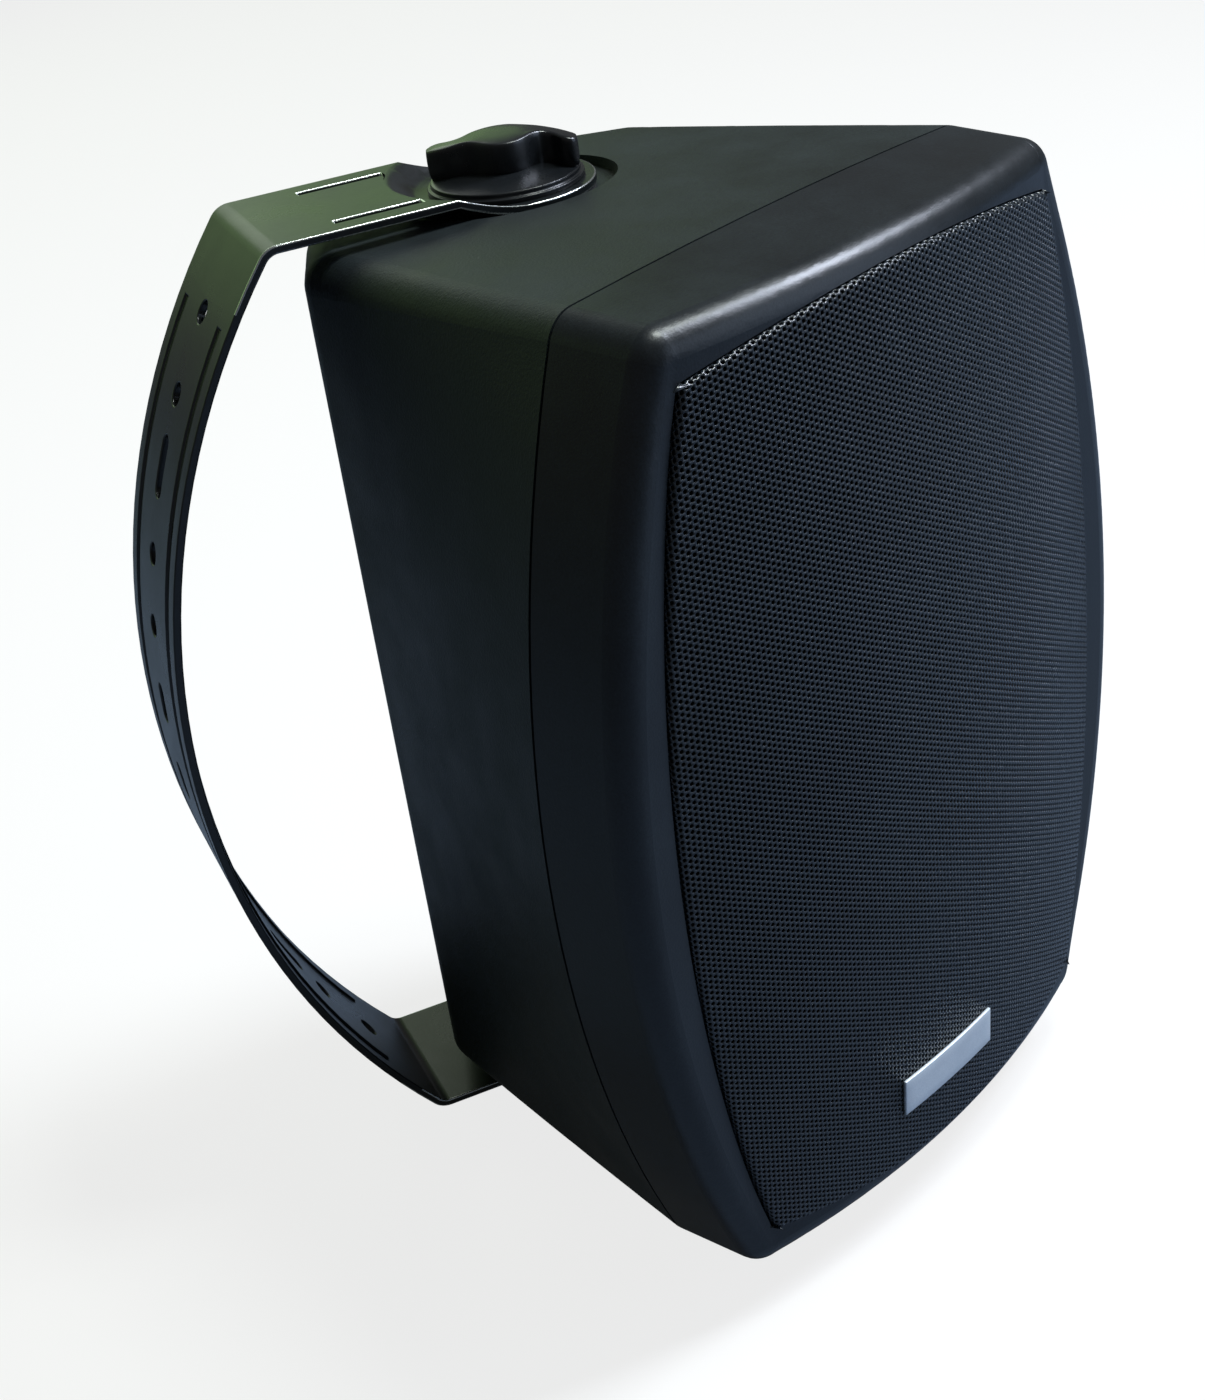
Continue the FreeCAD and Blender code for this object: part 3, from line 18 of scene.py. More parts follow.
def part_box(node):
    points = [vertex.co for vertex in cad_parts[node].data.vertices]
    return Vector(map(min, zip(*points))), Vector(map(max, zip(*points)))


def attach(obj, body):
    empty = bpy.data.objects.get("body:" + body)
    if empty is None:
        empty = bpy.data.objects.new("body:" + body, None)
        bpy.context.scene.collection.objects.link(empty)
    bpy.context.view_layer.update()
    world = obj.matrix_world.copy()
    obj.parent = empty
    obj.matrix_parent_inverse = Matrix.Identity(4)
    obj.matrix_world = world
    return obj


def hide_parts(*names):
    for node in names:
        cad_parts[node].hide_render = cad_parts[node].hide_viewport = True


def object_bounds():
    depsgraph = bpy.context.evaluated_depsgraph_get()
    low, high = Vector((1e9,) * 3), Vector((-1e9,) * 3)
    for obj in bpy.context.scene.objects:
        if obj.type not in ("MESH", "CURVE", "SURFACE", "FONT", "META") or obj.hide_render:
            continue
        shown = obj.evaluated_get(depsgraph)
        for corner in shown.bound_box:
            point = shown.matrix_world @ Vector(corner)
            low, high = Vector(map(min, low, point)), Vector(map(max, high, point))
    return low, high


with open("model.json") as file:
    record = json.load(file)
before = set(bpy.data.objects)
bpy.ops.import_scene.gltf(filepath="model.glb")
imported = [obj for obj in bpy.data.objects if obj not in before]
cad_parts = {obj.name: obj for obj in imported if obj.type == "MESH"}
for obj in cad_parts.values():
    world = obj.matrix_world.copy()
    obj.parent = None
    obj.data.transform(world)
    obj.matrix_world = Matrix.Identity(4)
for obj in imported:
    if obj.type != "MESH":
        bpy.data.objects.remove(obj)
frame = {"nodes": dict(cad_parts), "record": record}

LOG = logging.getLogger("loudspeaker")
MM = 0.001
CAD_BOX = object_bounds()
WHITE = (1.0, 1.0, 1.0, 1.0)
# An edge limit, in degrees, that leaves no edge of a piece sharp.
ALL_SMOOTH = 180.0
# Most values of a noise texture lie between these two.
NOISE_LOW, NOISE_HIGH = 0.3, 0.7
# Most products of two noise values lie between these two.
SHADE_LOW, SHADE_HIGH = 0.12, 0.42
# A wave texture's scale is divided by this to repeat about every two thread widths.
WAVE_DIVISOR = 6.28


class Body(str, Enum):
    """Bodies of the frame that the new pieces ride on."""

    CABINET = "cabinet"
    BRACKET = "bracket_arm"
    TOP_CLAMP = "top_clamp"
    BOTTOM_CLAMP = "bottom_clamp"


def linear(hex_colour: str) -> tuple[float, float, float, float]:
    """Turn an sRGB hex colour into linear RGBA.

    Args:
        hex_colour: six hex digits, such as "1a1b1c".

    Returns:
        Linear red, green, blue and an alpha of 1.
    """
    def channel(pair: str) -> float:
        """Linear value of one two-digit channel."""
        value = int(pair, 16) / 255
        return value / 12.92 if value <= 0.04045 else ((value + 0.055) / 1.055) ** 2.4

    return (channel(hex_colour[0:2]), channel(hex_colour[2:4]), channel(hex_colour[4:6]), 1.0)


def add_node(tree: bpy.types.NodeTree, kind: str, inputs: dict[Any, Any] | None = None,
             **settings: Any) -> bpy.types.Node:
    """Add a shader node with its settings, values and links.

    Args:
        tree: node tree that receives the node.
        kind: type name of the node.
        inputs: values, or output sockets to link, by input name or index.
        settings: attributes of the node.

    Returns:
        The new node.
    """
    node = tree.nodes.new(kind)
    for name, value in settings.items():
        setattr(node, name, value)
    for key, value in (inputs or {}).items():
        if isinstance(value, bpy.types.NodeSocket):
            tree.links.new(value, node.inputs[key])
        else:
            node.inputs[key].default_value = value
    return node


def new_material(name: str) -> tuple[bpy.types.Material, bpy.types.NodeTree, bpy.types.Node]:
    """Start a material with a surface shader and nothing else.

    Args:
        name: name of the real material and its finish.

    Returns:
        The material, its node tree and its Principled shader.
    """
    material = bpy.data.materials.new(name)
    material.use_nodes = True
    tree = material.node_tree
    tree.nodes.clear()
    shader = add_node(tree, "ShaderNodeBsdfPrincipled")
    add_node(tree, "ShaderNodeOutputMaterial", {"Surface": shader.outputs["BSDF"]})
    return material, tree, shader


@dataclass(frozen=True)
class GrainedFinish:
    """Painted, moulded or cast surface with a fine random grain and a slow drift of sheen.

    Lengths are in millimetres. A grain too fine for the picture is drawn as coarse as it needs to show.
    """

    name: str
    colour: str
    light_colour: str
    roughness: float
    roughness_drift: float
    grain: float
    grain_depth: float
    drift: float = 28.0
    metallic: float = 0.0
    specular: float = 0.5

    def build(self) -> bpy.types.Material:
        """Make the material.

        Returns:
            The finished material.
        """
        material, tree, shader = new_material(self.name)
        place = add_node(tree, "ShaderNodeTexCoord").outputs["Object"]
        slow = add_node(tree, "ShaderNodeTexNoise", {
            "Vector": place, "Scale": 1 / (self.drift * MM), "Detail": 5.0, "Roughness": 0.6})
        fine = add_node(tree, "ShaderNodeTexNoise", {
            "Vector": place, "Scale": 1 / (self.grain * MM), "Detail": 3.0, "Roughness": 0.55})
        shade = add_node(tree, "ShaderNodeMath", {0: slow.outputs["Fac"], 1: fine.outputs["Fac"]},
                         operation="MULTIPLY")
        spread = add_node(tree, "ShaderNodeMapRange", {
            "Value": shade.outputs["Value"], "From Min": SHADE_LOW, "From Max": SHADE_HIGH})
        tint = add_node(tree, "ShaderNodeMix", {
            0: spread.outputs["Result"], 6: linear(self.colour), 7: linear(self.light_colour)},
            data_type="RGBA")
        sheen = add_node(tree, "ShaderNodeMapRange", {
            "Value": slow.outputs["Fac"], "From Min": NOISE_LOW, "From Max": NOISE_HIGH,
            "To Min": self.roughness - self.roughness_drift,
            "To Max": self.roughness + self.roughness_drift})
        relief = add_node(tree, "ShaderNodeBump", {
            "Height": fine.outputs["Fac"], "Strength": 1.0, "Distance": self.grain_depth * MM})
        tree.links.new(tint.outputs[2], shader.inputs["Base Color"])
        tree.links.new(sheen.outputs["Result"], shader.inputs["Roughness"])
        tree.links.new(relief.outputs["Normal"], shader.inputs["Normal"])
        shader.inputs["Metallic"].default_value = self.metallic
        shader.inputs["Specular IOR Level"].default_value = self.specular
        return material


@dataclass(frozen=True)
class BrushedFinish:
    """Metal with fine lines along one axis, from brushing, turning or plating.

    Lengths are in millimetres: the width of a line, its run along the axis and its depth.
    """

    name: str
    colour: str
    roughness: float
    line: float
    run: float
    axis: int = 0
    depth: float = 0.004
    roughness_spread: float = 0.2

    def build(self) -> bpy.types.Material:
        """Make the material.

        Returns:
            The finished material.
        """
        material, tree, shader = new_material(self.name)
        place = add_node(tree, "ShaderNodeTexCoord").outputs["Object"]
        scale = [1 / (self.line * MM)] * 3
        scale[self.axis] = 1 / (self.run * MM)
        stretch = add_node(tree, "ShaderNodeMapping", {"Vector": place, "Scale": scale})
        lines = add_node(tree, "ShaderNodeTexNoise", {
            "Vector": stretch.outputs["Vector"], "Scale": 1.0, "Detail": 4.0, "Roughness": 0.6})
        polish = add_node(tree, "ShaderNodeMapRange", {
            "Value": lines.outputs["Fac"], "From Min": NOISE_LOW, "From Max": NOISE_HIGH,
            "To Min": self.roughness * (1 - self.roughness_spread),
            "To Max": self.roughness * (1 + self.roughness_spread)})
        relief = add_node(tree, "ShaderNodeBump", {
            "Height": lines.outputs["Fac"], "Strength": 0.6, "Distance": self.depth * MM})
        tree.links.new(polish.outputs["Result"], shader.inputs["Roughness"])
        tree.links.new(relief.outputs["Normal"], shader.inputs["Normal"])
        shader.inputs["Base Color"].default_value = linear(self.colour)
        shader.inputs["Metallic"].default_value = 1.0
        return material


@dataclass(frozen=True)
class WovenFinish:
    """Cloth with two crossing sets of threads, seen in the plane of the baffle.

    Lengths are in millimetres: the width of a thread and the height of the weave.
    """

    name: str
    colour: str
    thread_colour: str
    thread: float
    height: float = 0.1
    roughness: float = 0.95

    def build(self) -> bpy.types.Material:
        """Make the material.

        Returns:
            The finished material.
        """
        material, tree, shader = new_material(self.name)
        place = add_node(tree, "ShaderNodeTexCoord").outputs["Object"]
        scale = 1 / (self.thread * MM) / WAVE_DIVISOR
        across = add_node(tree, "ShaderNodeTexWave", {"Vector": place, "Scale": scale},
                          bands_direction="X")
        upright = add_node(tree, "ShaderNodeTexWave", {"Vector": place, "Scale": scale},
                           bands_direction="Z")
        weave = add_node(tree, "ShaderNodeMath", {0: across.outputs["Fac"], 1: upright.outputs["Fac"]},
                         operation="MULTIPLY")
        tint = add_node(tree, "ShaderNodeMix", {
            0: weave.outputs["Value"], 6: linear(self.colour), 7: linear(self.thread_colour)},
            data_type="RGBA")
        relief = add_node(tree, "ShaderNodeBump", {
            "Height": weave.outputs["Value"], "Strength": 0.8, "Distance": self.height * MM})
        tree.links.new(tint.outputs[2], shader.inputs["Base Color"])
        tree.links.new(relief.outputs["Normal"], shader.inputs["Normal"])
        shader.inputs["Roughness"].default_value = self.roughness
        return material


Finish = GrainedFinish | BrushedFinish | WovenFinish

# Each finish starts from the real material and how its surface was made.
FINISHES: dict[str, Finish] = {
    # ABS moulded in a spark-eroded tool: a fine, even grain that spreads the light
    "case_plastic": GrainedFinish("abs_spark_grain", "0f1415", "1c2325", 0.50, 0.06, 0.80, 0.11,
                                  specular=0.3),
    # the same plastic from a smooth tool: a satin sheen with a soft light line on each rounding
    "bezel_plastic": GrainedFinish("abs_satin", "0d1114", "191f23", 0.34, 0.05, 0.70, 0.040,
                                   specular=0.4),
    # powder coat on perforated steel: semi-gloss, so that the bridges between the holes glint
    "grille_paint": GrainedFinish("powder_coat_grille", "14191d", "20272d", 0.26, 0.04, 0.60, 0.010),
    # loose black polyester weave: swallows the light behind the holes
    "scrim_cloth": WovenFinish("polyester_scrim", "040404", "0b0b0b", 0.6),
    # anodised aluminium, etched satin: pale and even, with little mirror in it
    "badge_metal": GrainedFinish("satin_anodised_aluminium", "ccd4da", "e0e6ea", 0.40, 0.05, 0.50, 0.006,
                                 metallic=0.25),
    # foamed rubber, cut from sheet: dead matt and pitted
    "seal_rubber": GrainedFinish("foam_rubber", "121212", "1b1b1b", 0.85, 0.05, 0.50, 0.060),
    # glass-filled nylon, moulded: half matt, a little rough from its fibres
    "basket_plastic": GrainedFinish("glass_filled_nylon", "161617", "202022", 0.55, 0.05, 0.60, 0.040),
    # butyl rubber, pressed: smooth, with a soft dark sheen
    "surround_rubber": GrainedFinish("butyl_rubber", "101010", "181818", 0.48, 0.04, 0.30, 0.010),
    # polypropylene, moulded thin: a low waxy sheen
    "cone_plastic": GrainedFinish("polypropylene_cone", "1b1b1d", "262629", 0.40, 0.05, 0.80, 0.030),
    # cotton weave stiffened with resin: tan, matt, with its threads showing
    "spider_cloth": WovenFinish("resin_cotton", "8a6a34", "b08c4c", 0.5),
    # enamelled copper wire, wound close: warm shining lines
    "copper": BrushedFinish("enamelled_copper_wire", "b8683a", 0.30, 0.35, 12.0),
    # turned steel, zinc plated: a cool shine with fine lines
    "motor_steel": BrushedFinish("zinc_plated_steel", "a8a9ab", 0.32, 0.30, 3.0),
    # ferrite, sintered and ground: dull dark grey
    "ferrite": GrainedFinish("sintered_ferrite", "242425", "313133", 0.62, 0.06, 0.50, 0.040),
    # silk under a soft coating: dull black with a very fine weave
    "dome_silk": WovenFinish("coated_silk", "0c0c0c", "161616", 0.25),
    # glass laminate under solder mask: smooth green with a low gloss
    "board_laminate": GrainedFinish("solder_masked_laminate", "1c4a2a", "255a34", 0.30, 0.05, 0.90, 0.010),
    # PVC shrunk on the can: tight, smooth and glossy
    "capacitor_sleeve": GrainedFinish("shrunk_pvc_sleeve", "1c2346", "28305a", 0.28, 0.04, 1.20, 0.008),
    # ceramic body filled with cement: chalky and pale
    "resistor_ceramic": GrainedFinish("cement_ceramic", "c9c6bc", "dcd9d0", 0.75, 0.05, 0.60, 0.060),
    # ABS from a plain tool: smooth and half matt
    "terminal_plastic": GrainedFinish("abs_terminal_plate", "151515", "1e1e1f", 0.42, 0.05, 0.45, 0.020),
    # brass, turned: bright, with close rings from the tool
    "post_brass": BrushedFinish("turned_brass", "c8a04c", 0.22, 0.10, 0.8, axis=1),
    # ABS from a polished tool: gloss, with clear highlights
    "cap_red": GrainedFinish("red_gloss_abs", "8c1212", "a01a18", 0.22, 0.04, 1.00, 0.004),
    "cap_black": GrainedFinish("black_gloss_abs", "101011", "17171a", 0.22, 0.04, 1.00, 0.004),
    # powder coat on strip steel: semi-gloss, with a faint orange peel
    "bracket_paint": GrainedFinish("powder_coat_steel", "0e1112", "181c1e", 0.30, 0.05, 1.40, 0.020),
    # sheared edge of the strip, worn through to the steel: a thin bright line
    "worn_steel": BrushedFinish("bare_strip_steel", "c6cac8", 0.26, 0.20, 4.0),
    # nylon, moulded: hard, and slightly shiny where hands have rubbed it
    "knob_plastic": GrainedFinish("moulded_nylon", "0c0e10", "171a1d", 0.27, 0.06, 0.50, 0.016),
    # steel screws, zinc plated: small cool glints
    "screw_steel": BrushedFinish("zinc_plated_screw", "a9abae", 0.30, 0.12, 1.0),
}


class Palette:
    """Materials of the object, made once and shared by all pieces of a slot."""

    def __init__(self) -> None:
        """Make every finish."""
        self.materials = {slot: finish.build() for slot, finish in FINISHES.items()}

    def dress(self, piece: bpy.types.Object, slot: str) -> None:
        """Give a piece the finish of a slot."""
        piece.data.materials.clear()
        piece.data.materials.append(self.materials[slot])

    def dress_frame(self) -> None:
        """Give every node of the frame the finish that the record states for it."""
        for row in frame["record"]["subparts"]:
            self.dress(frame["nodes"][row["node"]], row["material_slot"])


@dataclass(frozen=True)
class CabinetAxes:
    """Axes of the cabinet: middle of the seam plane, read from the seam gasket."""

    origin: Vector

    @classmethod
    def from_frame(cls) -> "CabinetAxes":
        """Read the axes from the frame."""
        low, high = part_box("baffle_gasket")
        return cls(Vector(((low.x + high.x) / 2, low.y, (low.z + high.z) / 2)))


class Piece:
    """A mesh piece under construction, with its body, slot and the nodes that it replaces."""

    def __init__(self, name: str, body: Body, slot: str, nodes: tuple[str, ...]) -> None:
        """Start a piece.

        Args:
            name: name of the piece.
            body: body that it rides on.
            slot: material slot of the record.
            nodes: nodes of the frame that it stands for.
        """
        self.name = name
        self.body = body
        self.slot = slot
        self.nodes = nodes
        self.modifiers: list[tuple[str, dict[str, Any]]] = []

    def finish(self, mesh: bmesh.types.BMesh, palette: Palette,
               smooth_angle: float = 35.0) -> bpy.types.Object:
        """Turn the bmesh into a dressed object of the scene.

        Args:
            mesh: finished bmesh, in metres in the frame, freed here.
            palette: materials of the object.
            smooth_angle: edges sharper than this, in degrees, stay sharp.

        Returns:
            The object.
        """
        for face in mesh.faces:
            face.smooth = True
        limit = math.radians(smooth_angle)
        for edge in mesh.edges:
            edge.smooth = not (edge.is_manifold and edge.calc_face_angle(0.0) > limit)
        data = bpy.data.meshes.new(self.name)
        mesh.to_mesh(data)
        mesh.free()
        thing = bpy.data.objects.new(self.name, data)
        bpy.context.scene.collection.objects.link(thing)
        for kind, settings in self.modifiers:
            modifier = thing.modifiers.new(kind.title(), kind)
            for key, value in settings.items():
                setattr(modifier, key, value)
        palette.dress(thing, self.slot)
        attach(thing, self.body.value)
        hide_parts(*self.nodes)
        LOG.info("%s: %d faces on %s", self.name, len(data.polygons), self.body.value)
        return thing


@dataclass
class Grille:
    """Perforated steel sheet, crowned both ways, whose edge folds back into the bezel.

    The outline and crown repeat the sizes of the construction, in millimetres in cabinet axes.
    """

    axes: CabinetAxes
    half_width: float = 97.8
    side_bow: float = 19.3
    half_height: float = 141.8
    top_bow: float = 8.6
    crown_across: float = 325.0
    crown_upright: float = 2315.0
    pitch: float = 1.856
    hole_radius: float = 0.71
    sheet: float = 0.9
    fold_radius: float = 1.5
    flange: float = 3.2
    spare_cells: int = 4
    bands: int = 4
    nose: float = field(init=False)

    def __post_init__(self) -> None:
        """Read the reach of the crown in front of the seam from the frame."""
        self.nose = (self.axes.origin.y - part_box("grille")[0].y) / MM

    def crown(self, x: float, z: float) -> float:
        """Depth of the front surface at a place, in cabinet axes."""
        sag = self.crown_across - math.sqrt(self.crown_across ** 2 - x ** 2)
        return self.crown_upright - self.nose - math.sqrt((self.crown_upright - sag) ** 2 - z ** 2)

    def edge(self, x: float, z: float) -> tuple[float, float, float]:
        """Distance outside the outline and the direction straight out of it.

        Args:
            x: place across, in millimetres.
            z: place upright, in millimetres.

        Returns:
            Signed distance, and the outward direction across and upright.
        """
        corner_z = self.half_height - self.top_bow
        corner_x = self.half_width - self.side_bow
        side_radius = (corner_z ** 2 + self.side_bow ** 2) / (2 * self.side_bow)
        top_radius = (corner_x ** 2 + self.top_bow ** 2) / (2 * self.top_bow)
        side = Vector((abs(x) + side_radius - self.half_width, z))
        top = Vector((x, abs(z) + top_radius - self.half_height))
        side_out = side.length - side_radius
        top_out = top.length - top_radius
        if side_out > top_out:
            way = side.normalized()
            return side_out, math.copysign(way.x, x), way.y
        way = top.normalized()
        return top_out, way.x, math.copysign(way.y, z)

    def slope(self, x: float, z: float, way_x: float, way_z: float) -> float:
        """Angle of the crown along a direction.

        Args:
            x: place across, in millimetres.
            z: place upright, in millimetres.
            way_x: direction across.
            way_z: direction upright.

        Returns:
            The angle, in radians.
        """
        step = 0.1
        rise = self.crown(x + way_x * step, z + way_z * step) - self.crown(x, z)
        return math.atan2(rise, step)

    def wrapped(self, x: float, z: float) -> Vector:
        """Place of a point of the flat blank after crowning and folding.

        Args:
            x: place across on the blank, in millimetres.
            z: place upright on the blank, in millimetres.

        Returns:
            The place, in metres in the frame.
        """
        out, way_x, way_z = self.edge(x, z)
        past = out + self.fold_radius
        if past <= 0:
            spot = Vector((x, self.crown(x, z), z))
        else:
            x -= way_x * past
            z -= way_z * past
            start = self.slope(x, z, way_x, way_z)
            bend = min(past / self.fold_radius, math.pi / 2 - start)
            run = self.fold_radius * (math.sin(start + bend) - math.sin(start))
            drop = self.fold_radius * (math.cos(start) - math.cos(start + bend))
            drop += past - bend * self.fold_radius
            spot = Vector((x + way_x * run, self.crown(x, z) + drop, z + way_z * run))
        return self.axes.origin + spot * MM

    def blank(self) -> bmesh.types.BMesh:
        """Punch the flat blank with upright staggered columns of six-sided holes.

        Returns:
            The blank as one layer of faces, in millimetres.
        """
        mesh = bmesh.new()
        column = self.pitch * math.sqrt(3) / 2
        columns = 2 * math.ceil((self.half_width + self.flange) / column) + self.spare_cells
        rows = 2 * math.ceil((self.half_height + self.flange) / self.pitch) + self.spare_cells
        bmesh.ops.create_grid(mesh, x_segments=columns, y_segments=rows, size=0.5)
        for vertex in mesh.verts:
            shift = self.pitch / 2 * (round((vertex.co.x + 0.5) * columns) % 2)
            across = vertex.co.x * columns * column
            vertex.co = Vector((across, 0.0, vertex.co.y * rows * self.pitch + shift))
        bmesh.ops.triangulate(mesh, faces=mesh.faces, quad_method="SHORT_EDGE")
        limit = self.flange + self.fold_radius
        outside = [v for v in mesh.verts if self.edge(v.co.x, v.co.z)[0] > limit]
        bmesh.ops.delete(mesh, geom=outside, context="VERTS")
        inner = [v for v in mesh.verts if not v.is_boundary]
        holes = bmesh.ops.bevel(mesh, geom=inner, offset=self.hole_radius, offset_type="OFFSET",
                                segments=1, profile=0.5, affect="VERTICES", material=-1)
        bmesh.ops.delete(mesh, geom=holes["faces"], context="FACES_ONLY")
        return mesh

    def formed(self) -> bmesh.types.BMesh:
        """Crown and fold the blank, give it its thickness and note the sheet's own normals.

        Returns:
            The whole sheet, in metres in the frame.
        """
        whole = self.blank()
        for vertex in whole.verts:
            vertex.co = self.wrapped(vertex.co.x, vertex.co.z)
        bmesh.ops.recalc_face_normals(whole, faces=whole.faces)
        whole.normal_update()
        if sum(f.normal.y for f in whole.faces) > 0:
            bmesh.ops.reverse_faces(whole, faces=whole.faces)
        bmesh.ops.solidify(whole, geom=whole.faces[:], thickness=self.sheet * MM)
        whole.normal_update()
        layer = whole.verts.layers.float_vector.new("sheet_normal")
        for vertex in whole.verts:
            vertex[layer] = vertex.normal
        return whole

    def build(self, palette: Palette) -> None:
        """Form the sheet and cut it into bands, which keep its normals so that no cut shows.

        Args:
            palette: materials of the object.
        """
        whole = self.formed()
        height = 2 * self.half_height * MM / self.bands
        for band in range(self.bands):
            part = whole.copy()
            low = self.axes.origin.z - self.half_height * MM + band * height
            first, last = band == 0, band == self.bands - 1
            away = [f for f in part.faces if (not first and f.calc_center_median().z < low)
                    or (not last and f.calc_center_median().z >= low + height)]
            bmesh.ops.delete(part, geom=away, context="FACES")
            piece = Piece(f"perforated_grille_{band + 1}", Body.CABINET, "grille_paint", ("grille",))
            layer = part.verts.layers.float_vector["sheet_normal"]
            normals = [tuple(vertex[layer]) for vertex in part.verts]
            thing = piece.finish(part, palette, smooth_angle=ALL_SMOOTH)
            thing.data.normals_split_custom_set_from_vertices(normals)
        whole.free()


@dataclass
class BadgePlate:
    """Bare plate on the foot of the grille, bent to its crown, with softened edges."""

    grille: Grille
    thickness: float = 1.1
    edge_radius: float = 0.35
    columns: int = 12
    rows: int = 4

    def build(self, palette: Palette) -> None:
        """Bend a small grid to the crown and give it its thickness.

        Args:
            palette: materials of the object.
        """
        low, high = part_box("badge_plate")
        origin = self.grille.axes.origin
        mesh = bmesh.new()
        bmesh.ops.create_grid(mesh, x_segments=self.columns, y_segments=self.rows, size=0.5)
        for vertex in mesh.verts:
            x = low.x + (vertex.co.x + 0.5) * (high.x - low.x)
            z = low.z + (vertex.co.y + 0.5) * (high.z - low.z)
            depth = self.grille.crown((x - origin.x) / MM, (z - origin.z) / MM) - self.thickness
            vertex.co = Vector((x, origin.y + depth * MM, z))
        bmesh.ops.recalc_face_normals(mesh, faces=mesh.faces)
        if sum(f.normal.y for f in mesh.faces) > 0:
            bmesh.ops.reverse_faces(mesh, faces=mesh.faces)
        piece = Piece("bare_badge_plate", Body.CABINET, "badge_metal", ("badge_plate",))
        piece.modifiers.append(("SOLIDIFY", {"thickness": self.thickness * MM, "offset": -1.0}))
        piece.modifiers.append(("BEVEL", {
            "width": self.edge_radius * MM, "segments": 3, "limit_method": "ANGLE"}))
        piece.finish(mesh, palette)


@dataclass
class ClampKnob:
    """Wing knob: a bar with hooked ends and a round middle, on a stepped foot that slopes up to it.

    Sizes are in millimetres from the middle of the foot. Each station of the wing gives its place
    along the bar and its two sides, and the other half of the bar is the same turned half round.
    The foot is a list of radii and levels.
    """

    name: str
    node: str
    body: Body
    upside: int
    turn: float = -42.5
    height: float = 15.0
    fall: float = 3.2
    fall_power: float = 1.4
    hub_flat: float = 6.0
    reach: float = 22.3
    wing_foot: float = 2.6
    wing_rows: int = 4
    edge_radius: float = 0.9
    foot_edge: float = 0.35
    foot_step_angle: float = 40.0
    foot_sides: int = 40
    weld: float = 0.001
    smoothing: int = 2
    foot: tuple[tuple[float, float], ...] = (
        (0.0, 0.0), (23.4, 0.0), (23.4, 1.6), (22.3, 1.6), (22.3, 3.1), (11.0, 5.5), (0.0, 5.5))
    stations: tuple[tuple[float, float, float], ...] = (
        (0.0, 11.3, -11.3), (3.2, 10.9, -10.6), (6.2, 9.0, -7.9), (8.9, 5.4, -5.4), (11.8, 2.7, -4.1),
        (15.0, 3.6, -3.4), (17.4, 6.9, -2.3), (20.0, 7.9, -0.4), (22.2, 6.0, 1.6))

    def wing(self, mesh: bmesh.types.BMesh) -> None:
        """Raise the bar from a small grid, crown its top and soften its edges.

        Args:
            mesh: bmesh of the knob, which gains the bar.
        """
        mirrored = [(-u, -back, -front) for u, front, back in reversed(self.stations[1:])]
        stations = mirrored + list(self.stations)
        last = len(stations) - 1
        grid = bmesh.ops.create_grid(mesh, x_segments=last, y_segments=self.wing_rows, size=0.5)["verts"]
        for vertex in grid:
            along, front, back = stations[round((vertex.co.x + 0.5) * last)]
            across = back + (front - back) * (0.5 - vertex.co.y)
            vertex.co = Vector((along, -across, self.wing_foot))
        sheet = list({face for vertex in grid for face in vertex.link_faces})
        raised = bmesh.ops.extrude_face_region(mesh, geom=sheet)["geom"]
        for vertex in (item for item in raised if isinstance(item, bmesh.types.BMVert)):
            past = max(0.0, vertex.co.xy.length - self.hub_flat) / (self.reach - self.hub_flat)
            vertex.co.z = self.height - self.fall * past ** self.fall_power
        top = {item for item in raised if isinstance(item, bmesh.types.BMFace)}
        rim = [edge for edge in mesh.edges if len(top & set(edge.link_faces)) == 1]
        bmesh.ops.bevel(mesh, geom=rim, offset=self.edge_radius, offset_type="OFFSET", segments=2,
                        profile=0.5, affect="EDGES", material=-1)

    def base(self, mesh: bmesh.types.BMesh) -> None:
        """Turn the stepped foot and soften its steps.

        Args:
            mesh: empty bmesh of the knob, which gains the foot.
        """
        marks = [mesh.verts.new((radius, 0.0, level)) for radius, level in self.foot]
        edges = [mesh.edges.new(pair) for pair in zip(marks, marks[1:])]
        bmesh.ops.spin(mesh, geom=marks + edges, cent=(0, 0, 0), axis=(0, 0, 1), angle=math.tau,
                       steps=self.foot_sides, use_merge=True)
        bmesh.ops.remove_doubles(mesh, verts=mesh.verts, dist=self.weld)
        limit = math.radians(self.foot_step_angle)
        steps = [e for e in mesh.edges if e.is_manifold and e.calc_face_angle(0.0) > limit]
        bmesh.ops.bevel(mesh, geom=steps, offset=self.foot_edge, offset_type="OFFSET", segments=2,
                        profile=0.5, affect="EDGES", material=-1)

    def build(self, palette: Palette) -> None:
        """Model the knob and set it on its tab.

        Args:
            palette: materials of the object.
        """
        mesh = bmesh.new()
        self.base(mesh)
        self.wing(mesh)
        bmesh.ops.recalc_face_normals(mesh, faces=mesh.faces)
        low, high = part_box(self.node)
        middle = (low + high) / 2
        middle.z = low.z if self.upside > 0 else high.z
        flip = Matrix.Rotation(0.0 if self.upside > 0 else math.pi, 4, "X")
        turn = Matrix.Rotation(math.radians(self.turn), 4, "Z")
        bmesh.ops.transform(mesh, verts=mesh.verts,
                            matrix=Matrix.Translation(middle) @ turn @ flip @ Matrix.Scale(MM, 4))
        piece = Piece(self.name, self.body, "knob_plastic", (self.node,))
        piece.modifiers.append(("SUBSURF", {"levels": self.smoothing, "render_levels": self.smoothing}))
        piece.finish(mesh, palette, smooth_angle=ALL_SMOOTH)


